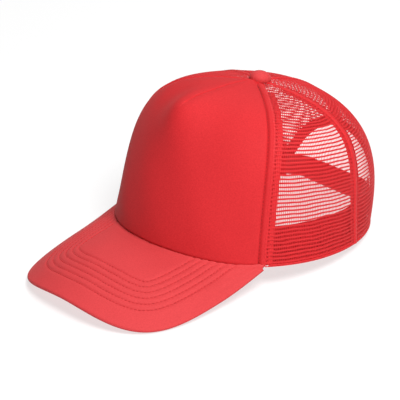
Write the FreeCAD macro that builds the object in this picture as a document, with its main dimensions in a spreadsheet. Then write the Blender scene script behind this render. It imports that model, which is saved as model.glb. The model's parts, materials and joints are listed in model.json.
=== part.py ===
import FreeCAD, Part
import Sketcher
import math
import os

from FreeCAD import Placement, Rotation, Vector

# A five-panel trucker cap: a foam-laminated front panel, four mesh panels, a curved visor, a covered
# button on top and a plastic snap strap across an arched opening at the back.
# Millimetres. The head frame has the rim in the plane z = 0 with its centre at the origin, the front
# towards -Y and the wearer's left towards +X. The finished cap is tipped so that it stands by itself on
# the two low corners of the visor and the two ends of the arch at the back.

SIZES = {
    # crown, measured on its outer face
    "rim_front": 93.8,
    "rim_back": 100.5,
    "rim_side": 93.5,
    "crown_height": 106.8,
    "button_setback": 14.9,
    # how far the wall leans out above the rim, as a share of the rim radius
    "lean_front": -0.05,
    "lean_side": -0.145,
    "lean_back": 0.18,
    # height of the lower wall, and of the shoulder, as shares of the crown height
    "wall_front": 0.556,
    "wall_side": 0.624,
    "wall_back": 0.416,
    "shoulder_front": 1.172,
    "shoulder_side": 0.959,
    "shoulder_back": 0.993,
    # how far out the shoulder sits, as a share of the rim radius
    "spread_front": 0.674,
    "spread_side": 1.166,
    "spread_back": 0.825,
    # the soft peak where the dart of the front panel ends
    "peak_height": 10.6,
    "peak_share": 0.605,
    "peak_angle": 20.0,
    "peak_reach": 0.16,
    # seams, as angles from the front, and how much they turn towards the button
    "front_seam_angle": 60.0,
    "front_seam_turn": 8.4,
    "rear_seam_angle": 113.4,
    "rear_seam_turn": 0.6,
    "seam_gap": 0.5,
    "button_hole_radius": 4.5,
    # layers, as depths below the outer face of the crown
    "foam_thickness": 2.6,
    "mesh_depth": 0.3,
    "mesh_thickness": 0.7,
    "tape_width": 12.0,
    "tape_thickness": 0.5,
    "tape_top_share": 0.92,
    "tape_foot": 3.0,
    "foam_tape_depth": 2.8,
    "mesh_tape_depth": 1.3,
    "hem_depth": 1.95,
    "hem_thickness": 1.2,
    "hem_height": 9.0,
    "band_depth": 3.6,
    "band_thickness": 1.4,
    "band_height": 28.0,
    "band_foot": 0.6,
    # arched opening at the back
    "arch_half_width": 46.0,
    "arch_height": 52.0,
    "binding_width": 7.0,
    "binding_proud": 0.4,
    "binding_thickness": 2.0,
    # visor
    "visor_slope": 15.2,
    "visor_bend": 146.0,
    "visor_tighten": 0.094,
    "visor_curl": 7.9,
    "visor_curl_reach": 75.0,
    "visor_rise": 7.2,
    "visor_dip": 4.7,
    "visor_dip_corner": 1.0,
    "visor_dip_reach": 28.0,
    "visor_seam_rise": 3.0,
    "visor_half_width": 86.5,
    "visor_length": 77.8,
    "visor_tail": 44.2,
    "visor_width_power": 2.8,
    "visor_length_power": 4.7,
    "visor_gap": 0.4,
    "board_thickness": 1.8,
    "board_inset": 1.0,
    "cover_thickness": 0.6,
    "cover_gap": 0.1,
    "thread_width": 0.6,
    "thread_height": 0.3,
    "stitch_rows": 6,
    "stitch_inset": 16.6,
    "stitch_pitch": 5.15,
    # button
    "button_radius": 8.0,
    "button_height": 5.4,
    "button_cloth": 0.7,
    "button_metal": 0.5,
    "button_lift": 1.2,
    "button_tilt": 8.0,
    "rivet_radius": 1.5,
    "rivet_length": 8.8,
    "rivet_drop": -4.8,
    "washer_radius": 7.0,
    "washer_thickness": 1.0,
    "washer_drop": 4.6,
    # snap strap
    "strap_height": 17.0,
    "strap_thickness": 1.0,
    "strap_foot": 2.6,
    "strap_lean": 14.0,
    "strap_back": 93.2,
    "strap_gap": 0.3,
    "strap_hinge": 27.0,
    "strap_hinge_gap": 0.6,
    "strap_reach": 51.0,
    "root_angle": 142.0,
    "hole_root_depth": 1.8,
    "peg_root_depth": 2.4,
    "snap_count": 6,
    "snap_pitch": 8.0,
    "snap_hole_radius": 2.3,
    "snap_peg_radius": 1.9,
    "snap_peg_length": 2.1,
}

doc = FreeCAD.newDocument("trucker_cap")
sheet = doc.addObject("Spreadsheet::Sheet", "sizes")
for row, (alias, value) in enumerate(SIZES.items(), 1):
    sheet.set(f"A{row}", alias)
    sheet.set(f"B{row}", str(value))
    sheet.setAlias(f"B{row}", alias)
doc.recompute()


in_millimetres = {alias: float(sheet.get(alias)) for alias in SIZES}


def size(alias):
    return in_millimetres[alias]


def around(quantity, angle):
    # a value that is stated at the front, side and back, at any angle between them
    front = size(quantity + "_front")
    side = size(quantity + "_side")
    back = size(quantity + "_back")
    level = (front + 2 * side + back) / 4
    return level + (front - back) / 2 * math.cos(angle) + (front - 2 * side + back) / 4 * math.cos(2 * angle)


def rim_radius(angle):
    # two half ellipses, one ahead of the widest line and a longer one behind it
    ahead = 0.5 * (1 + math.cos(angle) / math.sqrt(math.cos(angle) ** 2 + 0.02))
    reach = size("rim_front") * ahead + size("rim_back") * (1 - ahead)
    return 1 / math.hypot(math.sin(angle) / size("rim_side"), math.cos(angle) / reach)


def crown_skin(angle, share):
    # outer face: each line from the rim (share 0) to the button (share 1) is a cubic Bezier curve
    rest = 1 - share
    low = 3 * share * rest**2
    high = 3 * share**2 * rest
    out = rest**3 + low * (1 + around("lean", angle)) + high * around("spread", angle)
    centre = rest**3 + low + high * around("spread", angle)
    up = low * around("wall", angle) + high * around("shoulder", angle) + share**3
    turned = math.atan2(math.sin(angle), math.cos(angle))
    from_peak = (turned / math.radians(size("peak_angle"))) ** 2
    from_peak += ((share - size("peak_share")) / size("peak_reach")) ** 2
    peak = size("peak_height") * math.exp(-from_peak) * math.sqrt(0.5)
    x = rim_radius(angle) * out * math.sin(angle)
    y = -rim_radius(angle) * out * math.cos(angle) + size("button_setback") * (1 - min(centre, 1.0))
    return Vector(x, y - peak, size("crown_height") * up + peak)


def crown_point(angle, share, depth):
    # a point below the outer face, along the face's own normal
    step = 0.0005
    along = crown_skin(angle + step, share) - crown_skin(angle - step, share)
    upward = crown_skin(angle, share + step) - crown_skin(angle, share - step)
    normal = along.cross(upward).normalize()
    return crown_skin(angle, share) - normal * depth


def share_at_height(angle, height):
    low, high = 0.0, 0.5
    for _ in range(40):
        middle = (low + high) / 2
        if crown_skin(angle, middle).z < height:
            low = middle
        else:
            high = middle
    return low


def top_share(angle, radius):
    # where the panels stop, a short way from the centre of the button
    return 1 - radius / size("rim_side") / 3 / around("spread", angle)


def line_radius(angle, share):
    # distance of the outer face from the upright line through the crown's centre at this share
    step = 0.0005
    return (crown_skin(angle + step, share) - crown_skin(angle - step, share)).Length / (2 * step)


def front_seam(share):
    return math.radians(size("front_seam_angle") + size("front_seam_turn") * share)


def rear_seam(share):
    return math.radians(size("rear_seam_angle") + size("rear_seam_turn") * share)


def centre_back(share):
    return math.pi


def centre_front(share):
    return 0.0


def smooth_surface(points):
    surface = Part.BSplineSurface()
    surface.interpolate(points)
    return surface


def solid_between(outer_points, inner_points):
    # a closed thick sheet: two smooth faces and the four ruled edges between them
    outer = smooth_surface(outer_points)
    inner = smooth_surface(inner_points)
    faces = [outer.toShape(), inner.toShape()]
    u_low, u_high, v_low, v_high = outer.bounds()
    inner_u_low, inner_u_high, inner_v_low, inner_v_high = inner.bounds()
    for a, b in ((u_low, inner_u_low), (u_high, inner_u_high)):
        faces.append(Part.makeRuledSurface(outer.uIso(a).toShape(), inner.uIso(b).toShape()))
    for a, b in ((v_low, inner_v_low), (v_high, inner_v_high)):
        faces.append(Part.makeRuledSurface(outer.vIso(a).toShape(), inner.vIso(b).toShape()))
    shell = Part.Shell(faces)
    shell.sewShape()
    solid = Part.Solid(shell)
    if solid.Volume < 0:
        solid.reverse()
    return solid


def steps(first, last, count):
    return [first + (last - first) * i / (count - 1) for i in range(count)]


def crown_sheet(left, right, bottom, top, depth, thickness, columns, rows):
    # a sheet of the crown between two seam lines and two heights; every limit is a function
    grids = []
    for below in (depth, depth + thickness):
        grid = []
        for across in steps(0.0, 1.0, columns):
            column = []
            for climb in steps(0.0, 1.0, rows):
                # the angle needs the share and the share needs the angle: three passes settle both
                share = 0.9 * climb
                for _ in range(3):
                    angle = left(share) * (1 - across) + right(share) * across
                    share = bottom(angle) * (1 - climb) + top(angle) * climb
                column.append(crown_point(angle, share, below))
            grid.append(column)
        grids.append(grid)
    return solid_between(*grids)


def beside(seam, side, distance):
    # a line beside a seam, a set distance away over the outer face
    return lambda share: seam(share) + side * distance / line_radius(seam(share), share)


def mirrored(line):
    return lambda share: -line(share)


def at_height(height):
    return lambda angle: share_at_height(angle, height)


def at_share(share):
    return lambda angle: share


def at_button(angle):
    return top_share(angle, size("button_hole_radius"))


def forehead(angle):
    # one at the middle of the forehead, nothing at the visor's corners
    corner = math.cos(math.radians(size("front_seam_angle")))
    return (max(math.cos(angle) - corner, 0.0) / (1 - corner)) ** 2


def rim_foot(angle):
    # the lower edge of the front panel rises a little over the forehead
    return share_at_height(angle, size("visor_seam_rise") * forehead(angle))


def feature(name, shape):
    piece = doc.addObject("Part::Feature", name)
    piece.Shape = shape
    piece.Label = name
    return piece


pieces = []


def add(piece):
    pieces.append(piece)
    return piece


# crown panels -----------------------------------------------------------------------------------------


def front_panel():
    seam = beside(front_seam, -1, size("seam_gap") / 2)
    shape = crown_sheet(mirrored(seam), seam, rim_foot, at_button, 0.0, size("foam_thickness"), 25, 25)
    return feature("front_panel", shape)


def side_mesh(name, side):
    near = beside(front_seam, 1, size("seam_gap") / 2)
    far = beside(rear_seam, -1, size("seam_gap") / 2)
    if side < 0:
        near, far = mirrored(far), mirrored(near)
    depth = size("mesh_depth")
    return feature(name, crown_sheet(near, far, at_height(0.0), at_button, depth, size("mesh_thickness"), 13, 21))


def arch_tool(margin):
    # an upright half ellipse run backwards through the crown
    wide = size("arch_half_width") + margin
    high = size("arch_height") + margin
    if wide >= high:
        ellipse = Part.Ellipse(Vector(0, 0, 0), wide, high)
        turn = 0
    else:
        ellipse = Part.Ellipse(Vector(0, 0, 0), high, wide)
        turn = 90
    face = Part.Face(Part.Wire([ellipse.toShape()]))
    face.Placement = Placement(Vector(0, 50, 0), Rotation(Vector(1, 0, 0), 90)).multiply(
        Placement(Vector(0, 0, 0), Rotation(Vector(0, 0, 1), turn))
    )
    return face.extrude(Vector(0, 80, 0))


def back_mesh(name, side):
    near = beside(rear_seam, 1, size("seam_gap") / 2)
    far = beside(centre_back, -1, size("seam_gap") / 2)
    if side < 0:
        near, far = mirrored(far), mirrored(near)
    depth = size("mesh_depth")
    whole = crown_sheet(near, far, at_height(0.0), at_button, depth, size("mesh_thickness"), 15, 21)
    return feature(name, whole.cut(arch_tool(size("binding_width") + size("seam_gap"))))


# seam tapes, hem, binding and sweatband -----------------------------------------------------------------


def seam_tape(name, seam, side, depth, bottom):
    half = size("tape_width") / 2
    left = beside(seam, -1, half)
    right = beside(seam, 1, half)
    if side < 0:
        left, right = mirrored(right), mirrored(left)
    top = at_share(size("tape_top_share"))
    return feature(name, crown_sheet(left, right, bottom, top, depth, size("tape_thickness"), 5, 21))


def foam_tape_foot(angle):
    return share_at_height(angle, size("tape_foot"))


def above_arch(angle):
    # the tape over the arch starts at the top of the binding
    return share_at_height(angle, size("arch_height") + size("binding_width") + 1)


def hem_tape(name, side):
    near = beside(front_seam, 1, size("tape_width") / 2 + size("seam_gap"))
    far = math.radians(size("root_angle") - 1)

    def end(share):
        return far

    left, right = (near, end) if side > 0 else (mirrored(end), mirrored(near))
    foot = at_height(size("band_foot"))
    top = at_height(size("hem_height"))
    return feature(name, crown_sheet(left, right, foot, top, size("hem_depth"), size("hem_thickness"), 15, 4))


def arch_binding():
    wide = math.radians(44)

    def left(share):
        return math.pi - wide

    def right(share):
        return math.pi + wide

    depth = -size("binding_proud")
    band = crown_sheet(left, right, at_height(0.0), at_share(0.6), depth, size("binding_thickness"), 17, 15)
    ring = arch_tool(size("binding_width")).cut(arch_tool(0.0))
    return feature("arch_binding", band.common(ring))


def arch_angle():
    # where the arch meets the rim
    angle = math.pi / 2
    while crown_skin(angle, 0.0).x > size("arch_half_width"):
        angle += 0.002
    return angle


def sweatband():
    end = arch_angle() - 0.5 * size("seam_gap") / size("rim_side")

    def right(share):
        return end

    foot = at_height(size("band_foot"))
    top = at_height(size("band_height"))
    depth = size("band_depth")
    shape = crown_sheet(mirrored(right), right, foot, top, depth, size("band_thickness"), 49, 7)
    return feature("sweatband", shape)


# visor --------------------------------------------------------------------------------------------------


def visor_drop(across, ahead, bend):
    # how far the bend and the curl carry a point below the flat slope
    curl = size("visor_curl") * ahead * abs(ahead) / size("visor_curl_reach") ** 2
    return bend * (1 - math.cos(across / bend)) + curl


def visor_sheet(across, ahead):
    # middle face of the visor board: a bent sheet that slopes down, curls towards its edge and
    # dips a little where it joins the crown
    slope = math.radians(size("visor_slope"))
    bend = size("visor_bend") * (1 - size("visor_tighten") * ahead / 100)
    drop = visor_drop(across, ahead, bend)
    x = bend * math.sin(across / bend)
    y = -size("rim_front") - ahead * math.cos(slope) + drop * math.sin(slope)
    z = size("visor_rise") - ahead * math.sin(slope) - drop * math.cos(slope)
    from_crown = size("rim_front") * (math.hypot(x / size("rim_side"), y / size("rim_front")) - 1)
    dip = size("visor_dip") * forehead(math.atan2(x, -y)) - size("visor_dip_corner")
    return Vector(x, y, z - dip * math.exp(-((from_crown / size("visor_dip_reach")) ** 2)))


def visor_point(across, ahead, lift):
    step = 0.05
    wide = visor_sheet(across + step, ahead) - visor_sheet(across - step, ahead)
    deep = visor_sheet(across, ahead + step) - visor_sheet(across, ahead - step)
    normal = deep.cross(wide).normalize()
    if normal.z < 0:
        normal = -normal
    return visor_sheet(across, ahead) + normal * lift


def visor_root(angle, gap):
    # where the board meets the crown's outer face at this angle from the front
    slope = math.radians(size("visor_slope"))
    x = (size("rim_side") + gap) * math.sin(angle)
    y = -(size("rim_front") + gap) * math.cos(angle)
    ahead = 0.0
    for _ in range(12):
        bend = size("visor_bend") * (1 - size("visor_tighten") * ahead / 100)
        across = bend * math.asin(x / bend)
        drop = visor_drop(across, ahead, bend)
        ahead = (-size("rim_front") - y + drop * math.sin(slope)) / math.cos(slope)
    return across, ahead


def evenly(points, count):
    # the same line with its points a set distance apart
    travelled = [0.0]
    for a, b in zip(points, points[1:]):
        travelled.append(travelled[-1] + math.dist(a, b))
    even = []
    j = 0
    for target in steps(0.0, travelled[-1], count):
        while j < len(points) - 2 and travelled[j + 1] < target:
            j += 1
        part = (target - travelled[j]) / (travelled[j + 1] - travelled[j])
        even.append([a + (b - a) * part for a, b in zip(points[j], points[j + 1])])
    return even


def visor_edge(inset, count):
    # outline of the visor laid flat, from the wearer's right corner round the front to the left one
    wide_share = 2 / size("visor_width_power")
    long_share = 2 / size("visor_length_power")
    reach = size("visor_length") + size("visor_tail")
    outline = []
    for angle in steps(-math.pi / 2, math.pi / 2, 721):
        side = math.copysign(abs(math.sin(angle)) ** wide_share, angle)
        ahead = reach * max(math.cos(angle), 0.0) ** long_share - size("visor_tail")
        outline.append([size("visor_half_width") * side, ahead])
    outline = evenly(outline, count)
    if not inset:
        return outline
    moved = []
    for i, (across, ahead) in enumerate(outline):
        before = outline[max(i - 1, 0)]
        after = outline[min(i + 1, count - 1)]
        run = math.dist(before, after)
        inward = [(after[1] - before[1]) / run, -(after[0] - before[0]) / run]
        moved.append([across + inset * inward[0], ahead + inset * inward[1]])
    return moved


def visor_layer(name, inset, gap, low, high):
    # one layer of the visor, from the crown's seam to its outer edge
    columns = 41
    rows = 9
    edge = visor_edge(inset, 4 * columns)[4:-4]
    edge = evenly(edge, columns)
    corner = math.radians(size("front_seam_angle")) - 0.02
    grids = []
    for lift in (high, low):
        grid = []
        for share, outer in zip(steps(-1.0, 1.0, columns), edge):
            inner = visor_root(corner * share, gap)
            column = []
            for part in steps(0.0, 1.0, rows):
                across = inner[0] + (outer[0] - inner[0]) * part
                ahead = inner[1] + (outer[1] - inner[1]) * part
                column.append(visor_point(across, ahead, lift))
            grid.append(column)
        grids.append(grid)
    return feature(name, solid_between(*grids))


def visor_board():
    half = size("board_thickness") / 2
    return visor_layer("visor_board", size("board_inset"), 2 * size("visor_gap"), -half, half)


def visor_cover(name, side):
    near = size("board_thickness") / 2 + size("cover_gap")
    far = near + size("cover_thickness")
    low, high = (near, far) if side > 0 else (-far, -near)
    return visor_layer(name, 0.0, size("visor_gap"), low, high)


def outside_crown(across, ahead, margin):
    point = visor_sheet(across, ahead)
    reach = math.hypot(point.x / (size("rim_side") + margin), point.y / (size("rim_front") + margin))
    return reach > 1


def visor_stitching():
    # rows of lockstitch that follow the visor's edge, each from crown seam to crown seam
    top = size("board_thickness") / 2 + size("cover_gap") + size("cover_thickness") + 0.05
    threads = []
    for row in range(int(size("stitch_rows"))):
        inset = size("stitch_inset") + size("stitch_pitch") * row
        line = [p for p in visor_edge(inset, 361) if outside_crown(p[0], p[1], 2.5)]
        line = [p for p in line if abs(p[0]) < size("visor_half_width") - inset + 1]
        middle = evenly(line, 41)
        grids = []
        for lift in (top + size("thread_height"), top):
            grid = []
            for i, point in enumerate(middle):
                before = middle[max(i - 1, 0)]
                after = middle[min(i + 1, len(middle) - 1)]
                run = math.dist(before, after)
                inward = [(after[1] - before[1]) / run, -(after[0] - before[0]) / run]
                column = []
                for off in (-size("thread_width") / 2, 0.0, size("thread_width") / 2):
                    across = point[0] + off * inward[0]
                    ahead = point[1] + off * inward[1]
                    column.append(visor_point(across, ahead, lift))
                grid.append(column)
            grids.append(grid)
        threads.append(solid_between(*grids))
    return feature("visor_stitching", Part.makeCompound(threads))


# button -------------------------------------------------------------------------------------------------


def dome(name, shrink):
    solid = doc.addObject("Part::Ellipsoid", name)
    solid.setExpression("Radius1", f"(sizes.button_height - ({shrink})) * 1mm")
    solid.setExpression("Radius2", f"(sizes.button_radius - ({shrink})) * 1mm")
    solid.setExpression("Radius3", f"(sizes.button_radius - ({shrink})) * 1mm")
    solid.Angle1 = 0
    return solid


def hollow_dome(name, outside, inside):
    piece = doc.addObject("Part::Cut", name)
    piece.Base = dome(name + "_outside", outside)
    piece.Tool = dome(name + "_inside", inside)
    piece.Label = name
    return piece


def button_cover():
    return hollow_dome("button_cover", "0", "sizes.button_cloth")


def button_shell():
    outside = "sizes.button_cloth + 0.1"
    return hollow_dome("button_shell", outside, outside + " + sizes.button_metal")


def button_rivet():
    shank = doc.addObject("Part::Cylinder", "button_rivet")
    shank.setExpression("Radius", "sizes.rivet_radius * 1mm")
    shank.setExpression("Height", "sizes.rivet_length * 1mm")
    shank.Label = "button_rivet"
    return shank


def button_washer():
    plate = doc.addObject("Part::Cylinder", "washer_plate")
    plate.setExpression("Radius", "sizes.washer_radius * 1mm")
    plate.setExpression("Height", "sizes.washer_thickness * 1mm")
    hole = doc.addObject("Part::Cylinder", "washer_hole")
    hole.setExpression("Radius", "(sizes.rivet_radius + 0.1) * 1mm")
    hole.setExpression("Height", "sizes.washer_thickness * 1mm")
    piece = doc.addObject("Part::Cut", "button_washer")
    piece.Base = plate
    piece.Tool = hole
    piece.Label = "button_washer"
    return piece


# snap strap ---------------------------------------------------------------------------------------------


def origin_plane(body, role):
    for datum in body.Origin.OriginFeatures:
        if datum.Role == role:
            return datum


def strap_sketch(body, name, plane_role):
    sketch = body.newObject("Sketcher::SketchObject", name)
    sketch.AttachmentSupport = [(origin_plane(body, plane_role), "")]
    sketch.MapMode = "FlatFace"
    return sketch


def strap_plate(body):
    # flat plate in the sketch's own plane: straight at the hinge, rounded at its free tip
    sketch = strap_sketch(body, body.Name + "_outline", "XY_Plane")
    height = size("strap_height")
    reach = size("strap_reach")
    gap = size("strap_hinge_gap")
    straight = reach - height / 2
    corners = [Vector(gap, 0, 0), Vector(straight, 0, 0), Vector(straight, height, 0), Vector(gap, height, 0)]
    bottom = sketch.addGeometry(Part.LineSegment(corners[0], corners[1]), False)
    centre = Vector(straight, height / 2, 0)
    round_end = Part.ArcOfCircle(
        Part.Circle(centre, Vector(0, 0, 1), height / 2), -math.pi / 2, math.pi / 2
    )
    tip = sketch.addGeometry(round_end, False)
    top = sketch.addGeometry(Part.LineSegment(corners[2], corners[3]), False)
    end = sketch.addGeometry(Part.LineSegment(corners[3], corners[0]), False)
    sketch.addConstraint(Sketcher.Constraint("Tangent", bottom, 2, tip, 1))
    sketch.addConstraint(Sketcher.Constraint("Tangent", tip, 2, top, 1))
    sketch.addConstraint(Sketcher.Constraint("Coincident", top, 2, end, 1))
    sketch.addConstraint(Sketcher.Constraint("Coincident", end, 2, bottom, 1))
    sketch.addConstraint(Sketcher.Constraint("Horizontal", bottom))
    sketch.addConstraint(Sketcher.Constraint("Vertical", end))
    sketch.addConstraint(Sketcher.Constraint("DistanceY", -1, 1, bottom, 1, 0.0))
    start = sketch.addConstraint(Sketcher.Constraint("DistanceX", -1, 1, bottom, 1, gap))
    run = sketch.addConstraint(Sketcher.Constraint("DistanceX", -1, 1, bottom, 2, straight))
    rise = sketch.addConstraint(Sketcher.Constraint("DistanceY", bottom, 1, end, 1, height))
    sketch.setExpression(f"Constraints[{start}]", "sizes.strap_hinge_gap * 1mm")
    sketch.setExpression(f"Constraints[{run}]", "(sizes.strap_reach - sizes.strap_height / 2) * 1mm")
    sketch.setExpression(f"Constraints[{rise}]", "sizes.strap_height * 1mm")
    pad = body.newObject("PartDesign::Pad", body.Name + "_plate")
    pad.Profile = sketch
    pad.setExpression("Length", "sizes.strap_thickness * 1mm")
    return pad


def snap_row(body, kind, radius_cell):
    # the snap nearest the hinge, as a sketch with one circle
    sketch = strap_sketch(body, body.Name + "_snap", "XY_Plane")
    first = size("strap_hinge") - size("snap_pitch") * (size("snap_count") - 1) / 2
    height = size("strap_height") / 2
    circle = sketch.addGeometry(
        Part.Circle(Vector(first, height, 0), Vector(0, 0, 1), size(radius_cell)), False
    )
    place = sketch.addConstraint(Sketcher.Constraint("DistanceX", -1, 1, circle, 3, first))
    level = sketch.addConstraint(Sketcher.Constraint("DistanceY", -1, 1, circle, 3, height))
    radius = sketch.addConstraint(Sketcher.Constraint("Radius", circle, size(radius_cell)))
    middle = "(sizes.strap_hinge - sizes.snap_pitch * (sizes.snap_count - 1) / 2) * 1mm"
    sketch.setExpression(f"Constraints[{place}]", middle)
    sketch.setExpression(f"Constraints[{level}]", "sizes.strap_height / 2 * 1mm")
    sketch.setExpression(f"Constraints[{radius}]", f"sizes.{radius_cell} * 1mm")
    snap = body.newObject(kind, body.Name + "_first")
    snap.Profile = sketch
    return sketch, snap


def repeat_snaps(body, sketch, snap):
    row = body.newObject("PartDesign::LinearPattern", body.Name + "_row")
    row.Originals = [snap]
    row.Direction = (sketch, ["H_Axis"])
    row.setExpression("Occurrences", "sizes.snap_count")
    row.setExpression("Length", "sizes.snap_pitch * (sizes.snap_count - 1) * 1mm")
    body.Tip = row


def hole_strap():
    body = doc.addObject("PartDesign::Body", "hole_strap")
    strap_plate(body)
    sketch, snap = snap_row(body, "PartDesign::Pocket", "snap_hole_radius")
    snap.Type = "ThroughAll"
    snap.Midplane = True
    repeat_snaps(body, sketch, snap)
    body.Label = "hole_strap"
    return body


def peg_strap():
    body = doc.addObject("PartDesign::Body", "peg_strap")
    strap_plate(body)
    sketch, snap = snap_row(body, "PartDesign::Pad", "snap_peg_radius")
    snap.setExpression("Length", "sizes.snap_peg_length * 1mm")
    snap.Reversed = True
    repeat_snaps(body, sketch, snap)
    body.Label = "peg_strap"
    return body


def root_end(depth):
    # angle at which the curved root of a strap stops, just short of the hinge
    angle = math.radians(size("root_angle"))
    while crown_point(angle, 0.0, depth).x > size("strap_hinge") + size("strap_hinge_gap") / 3:
        angle += 0.001
    return angle


def strap_root(name, side, depth):
    near = math.radians(size("root_angle"))
    far = root_end(depth)

    def start(share):
        return near

    def stop(share):
        return far

    left, right = (start, stop) if side > 0 else (mirrored(stop), mirrored(start))
    foot = at_height(size("strap_foot"))
    lean = math.radians(size("strap_lean"))
    top = at_height(size("strap_foot") + size("strap_height") * math.cos(lean))
    thickness = size("strap_thickness")
    return feature(name, crown_sheet(left, right, foot, top, depth, thickness, 9, 5))


# placement ----------------------------------------------------------------------------------------------


def button_place(lift):
    top = crown_skin(0.0, 1.0)
    lean = Placement(top, Rotation(Vector(1, 0, 0), -size("button_tilt")))
    return lean.multiply(Placement(Vector(0, 0, lift), Rotation()))


def strap_axes(side):
    # foot of the hinge line of one strap, with the directions along, up and out of its plate
    lean = math.radians(size("strap_lean"))
    outward = Vector(0, math.cos(lean), -math.sin(lean))
    upward = Vector(0, math.sin(lean), math.cos(lean))
    foot = Vector(side * size("strap_hinge"), size("strap_back"), size("strap_foot"))
    return foot + outward * (side * size("strap_gap") / 2), Vector(-side, 0, 0), upward, outward * side


def strap_place(side):
    corner, along, upward, through = strap_axes(side)
    matrix = FreeCAD.Matrix(
        along.x, upward.x, through.x, corner.x,
        along.y, upward.y, through.y, corner.y,
        along.z, upward.z, through.z, corner.z,
        0, 0, 0, 1,
    )
    return Placement(matrix)


def hinge_line(side):
    # the hinge runs up the middle of the plate's thickness
    corner, along, upward, through = strap_axes(side)
    return corner + through * (size("strap_thickness") / 2), upward


for name, side in (("left", 1), ("right", -1)):
    add(side_mesh("side_mesh_" + name, side))
    add(back_mesh("back_mesh_" + name, side))
    add(seam_tape("front_seam_tape_" + name, front_seam, side, size("foam_tape_depth"), foam_tape_foot))
    add(seam_tape("rear_seam_tape_" + name, rear_seam, side, size("mesh_tape_depth"), at_height(1.0)))
    add(hem_tape("hem_tape_" + name, side))
add(front_panel())
add(seam_tape("dart_tape", centre_front, 1, size("foam_tape_depth"), at_share(size("peak_share"))))
add(seam_tape("centre_back_tape", centre_back, 1, size("mesh_tape_depth"), above_arch))
add(arch_binding())
add(sweatband())
add(visor_board())
add(visor_cover("visor_top_cover", 1))
add(visor_cover("visor_under_cover", -1))
add(visor_stitching())
add(strap_root("hole_strap_root", 1, size("hole_root_depth")))
add(strap_root("peg_strap_root", -1, size("peg_root_depth")))

local = {}
local[add(button_cover()).Name] = button_place(size("button_lift"))
local[add(button_shell()).Name] = button_place(size("button_lift"))
local[add(button_rivet()).Name] = button_place(size("rivet_drop"))
local[add(button_washer()).Name] = button_place(-size("washer_drop"))
local[add(hole_strap()).Name] = strap_place(1)
local[add(peg_strap()).Name] = strap_place(-1)
doc.recompute()


def stance():
    # tip the cap until the visor's low corners and the ends of the arch are level, then centre it
    visor = next(piece for piece in pieces if piece.Label == "visor_under_cover").Shape
    binding = next(piece for piece in pieces if piece.Label == "arch_binding").Shape
    visor_points = visor.tessellate(0.2)[0]
    binding_points = binding.tessellate(0.2)[0]
    low, high = 0.0, 20.0
    for _ in range(40):
        middle = (low + high) / 2
        turn = Rotation(Vector(1, 0, 0), -middle)
        ahead = min(turn.multVec(p).z for p in visor_points)
        behind = min(turn.multVec(p).z for p in binding_points)
        if ahead < behind:
            low = middle
        else:
            high = middle
    turn = Rotation(Vector(1, 0, 0), -low)
    everything = []
    for piece in pieces:
        place = local.get(piece.Name, Placement())
        shape = piece.Shape.copy()
        shape.Placement = Placement(Vector(), turn).multiply(place)
        everything += shape.tessellate(0.2)[0]
    floor = min(p.z for p in everything)
    back = (min(p.y for p in everything) + max(p.y for p in everything)) / 2
    return Placement(Vector(0, -back, -floor), turn)


stand = stance()
for piece in pieces:
    piece.Placement = stand.multiply(local.get(piece.Name, Placement()))
doc.recompute()

print("tipped by", round(math.degrees(stand.Rotation.Angle), 3), "lifted by", stand.Base)
for name, side in (("hole_strap", 1), ("peg_strap", -1)):
    point, axis = hinge_line(side)
    print(name, "hinge", stand.multVec(point), stand.Rotation.multVec(axis))

os.makedirs("parts", exist_ok=True)
for thing in doc.Objects:
    if "Invalid" in thing.State or "Error" in thing.State:
        raise RuntimeError(f"{thing.Label} did not recompute: {thing.State}")
for piece in pieces:
    if piece.Shape.isNull() or not piece.Shape.isValid():
        raise RuntimeError(f"{piece.Label} has no valid shape")
    if piece.Shape.Volume <= 0:
        raise RuntimeError(f"{piece.Label} is inside out")
for piece in pieces:
    piece.Shape.exportStep(f"parts/{piece.Label}.step")
    print(f"{piece.Label:24s} {piece.Shape.Volume / 1000:8.2f} cm3")
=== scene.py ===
import json
import math

import bpy
import numpy as np
from mathutils import Matrix, Vector


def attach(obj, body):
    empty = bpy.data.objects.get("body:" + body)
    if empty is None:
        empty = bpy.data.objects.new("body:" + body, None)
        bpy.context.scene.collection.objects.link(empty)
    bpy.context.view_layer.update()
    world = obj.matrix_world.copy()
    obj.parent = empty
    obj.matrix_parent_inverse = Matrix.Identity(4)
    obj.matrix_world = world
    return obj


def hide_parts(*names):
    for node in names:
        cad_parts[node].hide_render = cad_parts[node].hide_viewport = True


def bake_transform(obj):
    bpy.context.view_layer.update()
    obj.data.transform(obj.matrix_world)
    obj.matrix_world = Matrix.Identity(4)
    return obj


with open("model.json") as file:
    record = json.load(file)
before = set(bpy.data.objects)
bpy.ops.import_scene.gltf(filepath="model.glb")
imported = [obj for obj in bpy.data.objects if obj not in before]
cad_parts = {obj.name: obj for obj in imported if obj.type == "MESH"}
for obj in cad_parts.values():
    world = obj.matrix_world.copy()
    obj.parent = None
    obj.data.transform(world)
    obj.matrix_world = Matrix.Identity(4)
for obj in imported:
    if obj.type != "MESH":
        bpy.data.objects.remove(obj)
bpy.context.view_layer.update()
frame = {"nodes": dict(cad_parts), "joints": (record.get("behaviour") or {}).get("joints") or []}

# the cap's shape, in metres, in a frame whose plane z = 0 is the rim; threes are front, side, back
crown = {
    "rimFront": 0.0938, "rimBack": 0.1005, "rimSide": 0.0935, "height": 0.1068, "setback": 0.0149,
    "lean": (-0.05, -0.145, 0.18), "wall": (0.556, 0.624, 0.416),
    "shoulder": (1.172, 0.959, 0.993), "spread": (0.674, 1.166, 0.825),
    "peakHeight": 0.0106, "peakShare": 0.605, "peakAngle": math.radians(20), "peakReach": 0.16,
    "buttonHole": 0.0019, "frontSeam": math.radians(60), "frontTurn": math.radians(8.4),
    "rearSeam": math.radians(113.4), "rearTurn": math.radians(0.6),
}
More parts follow.
